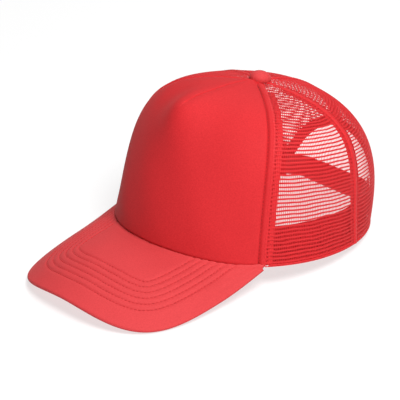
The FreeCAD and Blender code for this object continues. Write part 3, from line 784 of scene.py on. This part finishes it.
def tapePart(seam, low, nearDepth, farDepth):
    shares = np.linspace(low, trim["tapeTop"], 120)
    angle, share, across = stripGrid(seam, -trim["tapeHalf"], trim["tapeHalf"], shares, 17)
    part = smooth(-0.001, 0.003, across)
    depth = nearDepth + (farDepth - nearDepth) * part
    edge = trim["tapeHalf"] - np.abs(across)
    sink = rounded(edge, trim["tapeThickness"] / 2)
    depth = depth + 0.00012 * np.sin(share * 190) * bump(edge, 0.002)
    outer = crownPoint(angle, share, depth + sink)
    inner = crownPoint(angle, share, depth + trim["tapeThickness"] - sink)
    return closedSheet(outer, inner), (outer + inner) / 2


def makeSeams():
    foot = float(shareAtHeight(math.radians(64), 0.003))
    foam, mesh = trim["behindFoam"], trim["behindMesh"]
    for name, seam, low, depth in (("front", frontSeam, foot, foam), ("rear", rearSeam, 0.004, mesh)):
        part, middle = tapePart(seam, low, depth, mesh)
        node = name + "_seam_tape"
        bothSides(node + "_cloth", part, tapeCloth, [node], middle)
    bothSides("rear_seam_fold", seamFold(rearSeam, 0.0), meshYarn, [])
    # the turned edge of the mesh, which fills the joint beside the front panel
    shares = np.linspace(0.002, trim["foldTop"], 200)
    angle, share, across = stripGrid(frontSeam, -0.0012, 0.0008, shares, 9)
    inner = crownPoint(angle, share, 0.001 + 0 * across)
    part = closedSheet(crownPoint(angle, share, 0.0004 + 0.0001 * np.sin(share * 330)), inner)
    bothSides("front_seam_turning", part, meshYarn, [])
    archTop = float(crownAt(np.array(0.0), np.array(0.0585))[1])
    part, middle = tapePart(backSeam, archTop + 0.01, mesh, mesh)
    tape = makePiece("centre_back_tape_cloth", part, tapeCloth, replaces=("centre_back_tape",))
    declareCloth(tape, middle)
    makePiece("centre_back_fold", seamFold(backSeam, archTop), meshYarn)
    part, middle = tapePart(lambda share: 0 * share, crown["peakShare"], foam, foam)
    tape = makePiece("dart_tape_cloth", part, tapeCloth, replaces=("dart_tape",))
    declareCloth(tape, middle)
    rows = []
    outside, inner = trim["threadOutside"], trim["threadInside"]
    for offset in (-trim["rowsAside"], trim["rowsAside"]):
        for inside, depth in ((False, outside), (True, inner)):
            rows.append(seamStitches(rearSeam, offset, depth, 0.01, 0.93, inside))
            rows.append(seamStitches(lambda share: -rearSeam(share), offset, depth, 0.01, 0.93, inside))
            rows.append(seamStitches(backSeam, offset, depth, archTop + 0.015, 0.93, inside))
    for side in (-1, 1):
        for offset, depth in ((panel["stitch"], inner), (-panel["stitch"], trim["threadBehindFoam"])):
            seam = lambda share: side * frontSeam(share)
            rows.append(seamStitches(seam, side * offset, depth, 0.02, 0.91, True))
    makePiece("seam_stitches", join(*rows), threadCloth)


makeSeams()


def makeHem():
    # the mesh edge turned up inside, with a small roll along the rim
    last = strap["rootAngle"] - math.radians(1)
    first = frontSeam(0.0) + trim["hemStart"] / crown["rimSide"]
    angle = np.linspace(first, last, 160)[None, :]
    height = spread(trim["bandFoot"], trim["hemHeight"], 18, 1.4)[:, None]
    share = shareAtHeight(np.broadcast_to(angle, (18, 160)), height)
    angle = np.broadcast_to(angle, share.shape)
    edge = np.minimum(height - trim["bandFoot"], trim["hemHeight"] - height)
    sink = rounded(np.broadcast_to(edge, share.shape), 0.0003)
    outer = crownPoint(angle, share, trim["hemDepth"] + sink)
    inner = crownPoint(angle, share, trim["hemDepth"] + trim["hemThickness"] - sink)
    part = closedSheet(outer, inner)
    middle = (outer + inner) / 2
    made = bothSides("hem_strip", part, tapeCloth, ["hem_tape"])
    for piece in made:
        width = float(gridLengths(middle)[..., 0].max() * 2)
    # the roll itself
    count, sides = 400, 10
    last = float(crownAt(np.array(arch["halfWidth"] + 0.004), np.array(0.0))[0])
    angle = np.linspace(frontSeam(0.0) + trim["rollStart"] / crown["rimSide"], last, count)
    round_ = np.arange(sides + 1) * 2 * math.pi / sides
    low = crownPoint(angle, np.full(count, 0.004), np.full(count, 0.0008))
    out = crownNormal(angle, np.full(count, 0.004))
    rise = np.array([0, 0, 1.0])
    # the roll stands taller where it runs out under the arch binding
    taller = 1 + trim["rollTaller"] * smooth(last - 0.16, last - 0.1, angle)
    radius = trim["roll"] * (1 + trim["rollWobble"] * np.sin(angle * 190))[:, None, None]
    upward = taller[:, None, None] * np.sin(round_)[None, :, None] * rise
    ring = np.cos(round_)[None, :, None] * out[:, None] + upward
    centre = low.copy()
    centre[:, 2] = trim["rollHigh"] * taller
    points = (centre[:, None] + ring * radius)[:, :-1]
    index = np.arange(count * sides).reshape(count, sides)
    after = np.roll(index, -1, axis=1)
    tube = np.stack([index[:-1], after[:-1], after[1:], index[1:]], -1).reshape(-1, 4)
    caps = ((3, 2, 1, 0), (4, 3, 0, 9), (5, 4, 9, 8), (6, 5, 8, 7))
    ends = [index[0][list(corners)] for corners in caps]
    ends += [index[-1][list(corners[::-1])] for corners in caps]
    flat = points.reshape(-1, 3)
    part = (flat, np.concatenate([tube, np.array(ends)]), np.stack([flat[:, 0], flat[:, 2]], -1))
    bothSides("hem_roll", part, meshYarn, [])


makeHem()


def makeSweatband():
    end = float(crownAt(np.array(arch["halfWidth"]), np.array(0.0))[0]) - 0.003
    angle = spread(-end, end, 420, 1.02)[None, :]
    height = spread(trim["bandFoot"], trim["bandHeight"], 34, 1.8)[:, None]
    share = shareAtHeight(np.broadcast_to(angle, (34, 420)), height)
    angle = np.broadcast_to(angle, share.shape)
    climb = (height - trim["bandFoot"]) / (trim["bandHeight"] - trim["bandFoot"])
    fromEnd = (end - np.abs(angle)) * 0.09
    edge = np.minimum(np.minimum(height - trim["bandFoot"], trim["bandHeight"] - height), fromEnd)
    sink = rounded(edge, trim["bandThickness"] / 2)
    waves = trim["bandWave"] * np.sin(angle * 23) * np.sin(angle * 9.7 + 1) * smooth(0.3, 1.0, climb)
    pinch = trim["bandPinch"] * bump(height - trim["bandRows"][0], 0.0007)
    # the band leans off the panels a little towards its free upper edge
    lean = trim["bandLean"] * smooth(0.4, 1.0, climb)
    shape = lean + waves
    outer = crownPoint(angle, share, trim["bandDepth"] + sink + shape)
    inner = crownPoint(angle, share, trim["bandDepth"] + trim["bandThickness"] - sink + shape - pinch)
    part = closedSheet(outer, inner)
    piece = makePiece("sweatband_cloth", part, bandCloth, replaces=("sweatband",))
    declareCloth(piece, (outer + inner) / 2)
    line = np.linspace(-end + 0.02, end - 0.02, 1600)
    rows = []
    for high in trim["bandRows"]:
        share = shareAtHeight(line, high)
        lean = trim["bandLean"] * smooth(0.4, 1.0, high / trim["bandHeight"])
        deep = trim["bandDepth"] + trim["bandThickness"] + lean - 0.0002
        depth = np.full(line.shape, deep)
        rows.append(crownStitches(line, share, depth, pitch=trim["bandStitch"], inside=True))
    makePiece("sweatband_stitches", join(*rows), threadCloth)


makeSweatband()
print("tapes, hem and sweatband made")

# arch binding

binding = {
    "width": 0.007, "outside": -0.0004, "inside": 0.0016, "cloth": 0.00045, "nose": 0.0010,
    "stitch": 0.0052, "pull": 0.00012,
}


def makeBinding():
    # bias tape folded over the cut edge of the mesh, as seen from its outer edge round to its inner one
    leaf, nose = binding["width"], binding["nose"]
    out, back = binding["outside"], binding["inside"]
    flatRun = np.linspace(leaf, nose, 16)
    bend = np.linspace(0, math.pi, 12)[1:-1]
    mid, half = (out + back) / 2, (back - out) / 2
    faces = []
    for thick in (0, binding["cloth"]):
        inner = half - thick
        reach = np.concatenate([flatRun, nose - (nose - thick) * np.sin(bend), flatRun[::-1]])
        straight = np.full(16, inner)
        depth = mid + np.concatenate([-straight, -inner * np.cos(bend), straight])
        faces.append((reach, depth))
    round_ = np.linspace(0.002, math.pi - 0.002, 300)
    grids = []
    for far, deep in faces:
        x = (arch["halfWidth"] + far[:, None]) * np.cos(round_)
        z = (arch["height"] + far[:, None]) * np.sin(round_)
        angle, share = crownAt(x, z)
        pull = np.sin(round_ * 160) * np.sin(np.clip(far / leaf, 0, 1) * math.pi)[:, None]
        grids.append(crownPoint(angle, share, deep[:, None] + binding["pull"] * pull))
    part = closedSheet(grids[0], grids[1])
    piece = makePiece("arch_binding_cloth", part, bindingCloth, replaces=("arch_binding",))
    declareCloth(piece, (grids[0] + grids[1]) / 2)
    rows = []
    for inside, deep in ((False, out - 0.00005), (True, back + 0.00005)):
        x = (arch["halfWidth"] + binding["stitch"]) * np.cos(round_)
        z = (arch["height"] + binding["stitch"]) * np.sin(round_)
        angle, share = crownAt(x, z)
        rows.append(crownStitches(angle, share, np.full(round_.shape, deep), inside=inside))
    makePiece("arch_binding_stitches", join(*rows), threadCloth)


makeBinding()
print("arch binding made")

# visor


def visorOutline(count):
    angle = np.linspace(-math.pi / 2, math.pi / 2, 2001)
    side = np.sign(angle) * np.abs(np.sin(angle)) ** (2 / visor["widthPower"])
    ahead = np.maximum(np.cos(angle), 0) ** (2 / visor["lengthPower"])
    ahead = (visor["length"] + visor["tail"]) * ahead - visor["tail"]
    return resample(np.stack([visor["halfWidth"] * side, ahead], -1), count)


def inward(outline):
    run = np.gradient(outline, axis=0)
    run /= np.linalg.norm(run, axis=1, keepdims=True)
    return np.stack([run[:, 1], -run[:, 0]], -1)


def fromEdge(places):
    # distance from each place on the flat visor to its outline
    line = visorOutline(1500)
    flat = places.reshape(-1, 2)
    nearest = np.empty(len(flat))
    for k in range(0, len(flat), 4000):
        gaps = flat[k:k + 4000, None] - line[None]
        nearest[k:k + 4000] = np.sqrt((gaps**2).sum(-1).min(axis=1))
    return nearest.reshape(places.shape[:-1])


def visorCloth(side, columns=281, rows=140, arcRows=16):
    outline = visorOutline(656)
    middle = resample(outline[5:-5], columns)
    normal = inward(middle)
    corner = crown["frontSeam"] + visor["corner"]
    root = visorRoot(np.linspace(-corner, corner, columns), -visor["tuck"])
    full = visor["halfThickness"]
    part = np.linspace(0, 1, rows)[:, None, None]
    ends = middle + normal * full
    flat = root[None] * (1 - part) + ends[None] * part
    distance = fromEdge(flat)
    groove = np.zeros(distance.shape)
    for k in range(visor["rows"]):
        off = distance - visor["firstRow"] - k * visor["rowPitch"]
        groove += visor["groove"] * bump(off, visor["grooveHalf"])
        groove += visor["valley"] * bump(off, visor["valleyHalf"])
    lengths = gridLengths(visorPoint(flat[..., 0], flat[..., 1], 0 * distance)[0])
    # the cloth is drawn down where it is sewn to the crown
    groove += visor["rootDip"] * bump(lengths[..., 1] - visor["tuck"], visor["rootDipHalf"])
    ripple = visor["ripple"] * np.sin(lengths[..., 0] * 210) * np.sin(lengths[..., 1] * 170 + 1)
    ripple *= smooth(0.0, 0.01, distance)
    fromCorner = np.minimum(np.arange(columns), np.arange(columns)[::-1]) * 2 * corner / columns * 0.094
    close = 0.25 + 0.75 * np.sqrt(1 - np.clip(1 - fromCorner / visor["cornerRound"], 0, 1) ** 2)
    last = math.radians(128) if side > 0 else math.radians(40)
    turned = np.linspace(0, last, arcRows + 1)[1:]
    grids = []
    for skin, marks in ((full, groove + ripple), (full - visor["cloth"], 0 * ripple)):
        lift = (skin - marks) * close
        lift[-1] = skin * close
        points = [visorPoint(flat[..., 0], flat[..., 1], side * lift)[0]]
        sinkage = np.linspace(0, 0.25, arcRows) ** 2 * 0.002 if side < 0 else np.zeros(arcRows)
        for angle, sink in zip(turned, sinkage):
            arc = middle + normal * (full - (skin - sink) * math.sin(angle))
            high = side * close * (skin - sink) * math.cos(angle)
            points.append(visorPoint(arc[:, 0], arc[:, 1], high)[0][None])
        grids.append(np.concatenate(points))
    if side > 0:
        grids = [grid[:, ::-1] for grid in grids]
    return closedSheet(grids[0], grids[1]), (grids[0] + grids[1]) / 2


def visorStitchLines(side):
    rows = []
    outline = visorOutline(721)
    for k in range(visor["rows"]):
        inset = visor["firstRow"] + k * visor["rowPitch"]
        line = outline + inward(outline) * inset
        place = visorSheet(line[:, 0], line[:, 1])
        sideways = place[:, 0] / (crown["rimSide"] + visor["stitchGap"])
        beyond = np.hypot(sideways, place[:, 1] / (crown["rimFront"] + visor["stitchGap"])) > 1
        keep = beyond & (np.abs(line[:, 0]) < visor["halfWidth"] - inset + 0.001)
        line = resample(line[keep], 700)
        lift = visor["halfThickness"] - visor["threadSunk"]
        points, normals = visorPoint(line[:, 0], line[:, 1], np.full(700, side * lift))
        rows.append(stitches(points, normals * side, visor["stitch"], visor["threadRadius"]))
    return join(*rows)


def makeVisor():
    for side, name in ((1, "top"), (-1, "under")):
        part, middle = visorCloth(side)
        node = f"visor_{name}_cover"
        piece = makePiece(f"visor_{name}_cloth", part, visorFace, replaces=(node,))
        declareCloth(piece, middle)
    rows = visorStitchLines(1)
    makePiece("visor_stitch_rows", rows, threadCloth, replaces=("visor_stitching",))
    makePiece("visor_stitch_rows_under", visorStitchLines(-1), threadCloth)


makeVisor()
print("visor made")

# button

button = {
    "radius": 0.008, "high": 0.0054, "cloth": 0.0007, "lift": 0.0012, "tilt": math.radians(8),
    "pleats": 16, "pleatDepth": 0.012, "disc": 0.024, "discRadius": 0.0115,
    # how far in and how high the turned edge runs
    "skirt": ((0.0001, -0.0010), (0.0006, -0.0020), (0.0012, -0.0012)),
}


def makeButton():
    # cloth drawn over a metal shell, gathered in small pleats where it turns under
    turned = 120
    climb = np.linspace(0.5 * math.pi, 0, 26)
    profile = [(button["radius"] * math.cos(a), button["high"] * math.sin(a)) for a in climb[:-1]]
    within = button["radius"] - button["cloth"], button["high"] - button["cloth"]
    inside = [(within[0] * math.cos(a), within[1] * math.sin(a)) for a in climb[::-1]]
    profile += [(button["radius"] - far, high) for far, high in button["skirt"]] + inside[1:]
    profile = np.array(profile)
    profile[0, 0] = profile[-1, 0] = 0.00002
    round_ = np.linspace(0, 2 * math.pi, turned + 1)[:-1]
    low = np.clip(1 - profile[:, 1] / button["high"], 0, 1) ** 3
    outside = (np.arange(len(profile)) < 27).astype(float)
    folds = np.sin(round_ * button["pleats"] + 0.5 * np.sin(round_ * 3))
    pleat = 1 + button["pleatDepth"] * (low * outside)[:, None] * folds
    radius = profile[:, :1] * pleat
    heights = np.repeat(profile[:, 1:], turned, 1)
    points = np.stack([radius * np.cos(round_), radius * np.sin(round_), heights], -1)
    index = np.arange(len(profile) * turned).reshape(len(profile), turned)
    after = np.roll(index, -1, axis=1)
    faces = np.stack([index[1:], after[1:], after[:-1], index[:-1]], -1).reshape(-1, 4)
    lean = np.array(Matrix.Rotation(-button["tilt"], 3, "X"))
    flat = points.reshape(-1, 3)
    top = crownSkin(0.0, 1.0)
    placed = (flat + [0, 0, button["lift"]]) @ lean.T + top
    caps = []
    for ring, order in ((index[0], (1, 0, 2, 3)), (index[-1], (0, 1, 3, 2))):
        for k in range(turned // 2 - 1):
            corners = (ring[k], ring[k + 1], ring[-k - 1], ring[-k - 2])
            caps.append([corners[n] for n in order])
    part = (placed, np.concatenate([faces, np.array(caps)]), flat[:, :2].copy())
    piece = makePiece("button_cloth", part, visorFace, replaces=("button_cover",), crease=80)


makeButton()
print("button made")

# snap straps


def plate():
    # the strap as a flat plate along x, with a rounded far end, in small squares
    first, length = strap["rootEnd"], strap["reach"]
    high, thick = strap["height"], strap["thickness"]
    columns = int((length - first) / strap["gridStep"])
    across = spread(0, 1, 15, 1.3)[:, None]
    x = np.linspace(first, length, columns)[None, :]
    half = high / 2
    tipPart = np.clip((x - (length - half)) / half, 0, 1)
    width = half * np.sqrt(np.maximum(1 - tipPart**2, 0.0004))
    y = half + (2 * across - 1) * width
    x = np.broadcast_to(x, y.shape)
    edge = half - np.abs(y - half)
    edge = np.where(x > length - half, half - np.hypot(x - length + half, y - half), edge)
    edge = np.minimum(edge, x - first)
    sink = rounded(np.maximum(edge, 0), thick * 0.45)
    outer = np.stack([x, y, thick / 2 - sink], -1)
    inner = np.stack([x, y, -thick / 2 + sink], -1)
    return closedSheet(outer, inner)


def cutHoles(piece, centres, radius):
    cutters = []
    for x, y in centres:
        bpy.ops.mesh.primitive_cylinder_add(vertices=32, radius=radius, depth=0.006, location=(x, y, 0))
        cutters.append(bpy.context.object)
    for cutter in cutters:
        modifier = piece.modifiers.new("hole", "BOOLEAN")
        modifier.operation = "DIFFERENCE"
        modifier.solver = "EXACT"
        modifier.object = cutter
    graph = bpy.context.evaluated_depsgraph_get()
    mesh = bpy.data.meshes.new_from_object(piece.evaluated_get(graph))
    piece.modifiers.clear()
    piece.data = mesh
    for cutter in cutters:
        bpy.data.objects.remove(cutter)


def onPath(side, flat, depth):
    # carries a flat strap onto the cap: along the crown up to the hinge, then straight
    along = np.array([-side, 0, 0.0])
    straight = strapFoot(side) + along * flat[:, :1] + strapUp * flat[:, 1:2]
    straight += strapOut * flat[:, 2:] * side
    samples = np.linspace(math.radians(138), math.radians(175), 400)
    base = crownPoint(side * samples, np.zeros(400), np.full(400, depth))
    travelled = lengthsAlong(base)
    atHinge = np.interp(0, (strap["hinge"] - side * base[:, 0]), travelled)
    angle = side * np.interp(flat[:, 0] + atHinge, travelled, samples)
    lean = math.cos(strap["lean"])
    share = shareAtHeight(np.abs(angle), strap["foot"] + flat[:, 1] * lean)
    curved = crownPoint(angle, share, depth - flat[:, 2] * side)
    part = smooth(-strap["bendRun"], strap["bendRun"] * 0.15, flat[:, 0])[:, None]
    return curved * (1 - part) + straight * part


def makeStrap(side, name, depth, nodes):
    flat = plate()
    mesh = bpy.data.meshes.new(name)
    mesh.from_pydata(flat[0], [], flat[1])
    mesh.uv_layers.new(name="cloth")
    piece = bpy.data.objects.new(name, mesh)
    bpy.context.scene.collection.objects.link(piece)
    start = strap["hinge"] - strap["pitch"] * (strap["snaps"] - 1) / 2
    centres = [(start + strap["pitch"] * k, strap["height"] / 2) for k in range(strap["snaps"])]
    if side > 0:
        cutHoles(piece, centres, strap["hole"])
    points = np.zeros(len(piece.data.vertices) * 3)
    piece.data.vertices.foreach_get("co", points)
    points = points.reshape(-1, 3)
    if side > 0:
        # a raised bead round each hole
        for x, y in centres:
            off = np.hypot(points[:, 0] - x, points[:, 1] - y) - strap["hole"]
            points[:, 2] += np.sign(points[:, 2]) * strap["bead"] * bump(off, 0.0006)
    moved = toRow(onPath(side, points, depth))
    piece.data.vertices.foreach_set("co", moved.ravel())
    piece.data.shade_smooth()
    piece.data.set_sharp_from_angle(angle=math.radians(45))
    piece.data.materials.clear()
    piece.data.materials.append(strapPlastic)
    piece.data.update()
    if side < 0:
        addPegs(piece, centres)
    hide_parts(*nodes)
    foot = strapFoot(side)
    near = toRow(foot + np.array([side * strap["bendHalf"], 0, 0]))
    far = toRow(foot - np.array([side * strap["bendHalf"], 0, 0]))
    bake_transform(piece)


def addPegs(piece, centres):
    # moulded pegs: a waist, a fuller head and a dished top
    base = strap["thickness"] / 2
    waist, head = strap["peg"], strap["pegHead"]
    steps = (
        (head - 0.0003, 0.62), (head - 0.0002, 0.8), (head - 0.00035, 0.93), (head - 0.0008, 1),
        (head - 0.0012, 0.97), (0.0006, 0.9), (0.0002, 0.9),
    )
    profile = [(waist + 0.00035, base - 0.0001), (waist + 0.0001, base + 0.0003)]
    profile += [(radius, base + strap["pegLength"] * part) for radius, part in ((waist, 0.4), *steps)]
    profile = np.array([*profile, (0.0002, base - 0.0001)])
    sides = 28
    round_ = np.arange(sides) * 2 * math.pi / sides
    parts = []
    for x, y in centres:
        ring = np.stack([profile[:, :1] * np.cos(round_) + x, profile[:, :1] * np.sin(round_) + y,
                         -np.repeat(profile[:, 1:], sides, 1)], -1)
        index = np.arange(len(profile) * sides).reshape(len(profile), sides)
        after = np.roll(index, -1, axis=1)
        faces = np.stack([index[:-1], index[1:], after[1:], after[:-1]], -1).reshape(-1, 4)
        closing = np.stack([index[-1], index[0], after[0], after[-1]], -1)
        parts.append((ring.reshape(-1, 3), np.concatenate([faces, closing]), ring.reshape(-1, 3)[:, :2]))
    points, faces, cloth = join(*parts)
    placed = toRow(onPath(-1, points, strap["pegDepth"]))
    pegs = makePiece("pegs", (placed, faces, cloth), strapPlastic, body=None, placed=True)
    bpy.ops.object.select_all(action="DESELECT")
    pegs.select_set(True)
    piece.select_set(True)
    bpy.context.view_layer.objects.active = piece
    bpy.ops.object.join()


makeStrap(1, "outer_snap_strap", strap["holeDepth"], ("hole_strap", "hole_strap_root"))
makeStrap(-1, "inner_snap_strap", strap["pegDepth"], ("peg_strap", "peg_strap_root"))
print("snap straps made")

# kept pieces of the frame get their materials
for name, material in (
    ("visor_board", boardPlastic), ("button_shell", buttonMetal),
    ("button_rivet", buttonMetal), ("button_washer", buttonMetal),
):
    node = frame["nodes"][name]
    node.data.materials.clear()
    node.data.materials.append(material)
    node.data.shade_smooth()
    node.data.set_sharp_from_angle(angle=math.radians(35))

# floor, light and camera

studio = {
    "floorGlow": 0.68, "floorGrey": 0.3, "world": 0.07, "aim": (0, 0, 0.05),
    # name, place, width and power
    "lamps": (("key", (1.02, -0.26, 1.46), 0.9, 42), ("back", (-0.8, 1.0, 1.45), 1.0, 12)),
}


def makeStage():
    bpy.ops.mesh.primitive_plane_add(size=12, location=(0, 0, -0.0002))
    floor = bpy.context.object
    floor.name = "floor"
    shader = Shader("floor_paper")
    place = shader.node("ShaderNodeTexCoord", {}, {}, output=3)
    grain = shader.node("ShaderNodeTexNoise", {}, {"Vector": place, "Scale": 3.0})
    grey = studio["floorGrey"]
    paper = {"Emission_Color": (1, 1, 1, 1), "Emission_Strength": studio["floorGlow"]}
    paper["Roughness"] = grain * 0.1 + 0.8
    floor.data.materials.append(shader.finish(Base_Color=(grey, grey, grey, 1), **paper))
    world = bpy.data.worlds.new("studio")
    bpy.context.scene.world = world
    world.use_nodes = True
    world.node_tree.nodes["Background"].inputs[0].default_value = (1, 1, 1, 1)
    world.node_tree.nodes["Background"].inputs[1].default_value = studio["world"]
    for name, where, wide, power in studio["lamps"]:
        data = bpy.data.lights.new(name, "AREA")
        data.shape = "DISK"
        data.size = wide
        data.energy = power
        lamp = bpy.data.objects.new(name, data)
        lamp.location = where
        aim = Vector(studio["aim"]) - lamp.location
        lamp.rotation_mode = "QUATERNION"
        lamp.rotation_quaternion = aim.to_track_quat("-Z", "Y")
        bpy.context.scene.collection.objects.link(lamp)


view = {
    "azimuth": 51.948, "elevation": 26.255, "roll": -4.819, "lens": 241.12, "distance": 1.98065,
    "target": (-0.01298, 0.00488, 0.03309),
}


def makeCamera():
    azimuth, elevation, roll = (math.radians(view[name]) for name in ("azimuth", "elevation", "roll"))
    flat = math.cos(elevation)
    back = Vector((math.sin(azimuth) * flat, -math.cos(azimuth) * flat, math.sin(elevation)))
    right = Vector((math.cos(azimuth), math.sin(azimuth), 0))
    up = back.cross(right)
    sideways = right * math.cos(roll) + up * math.sin(roll)
    upright = back.cross(sideways)
    data = bpy.data.cameras.new("camera")
    data.lens = view["lens"]
    data.sensor_width = 36
    data.clip_start = 0.05
    data.clip_end = 50
    camera = bpy.data.objects.new("camera", data)
    place = Vector(view["target"]) + back * view["distance"]
    turned = Matrix((sideways, upright, back)).transposed().to_4x4()
    camera.matrix_world = Matrix.Translation(place) @ turned
    bpy.context.scene.collection.objects.link(camera)
    bpy.context.scene.camera = camera


makeStage()
makeCamera()
bpy.context.scene.view_settings.view_transform = "Standard"

bpy.context.view_layer.update()
print("stage made")
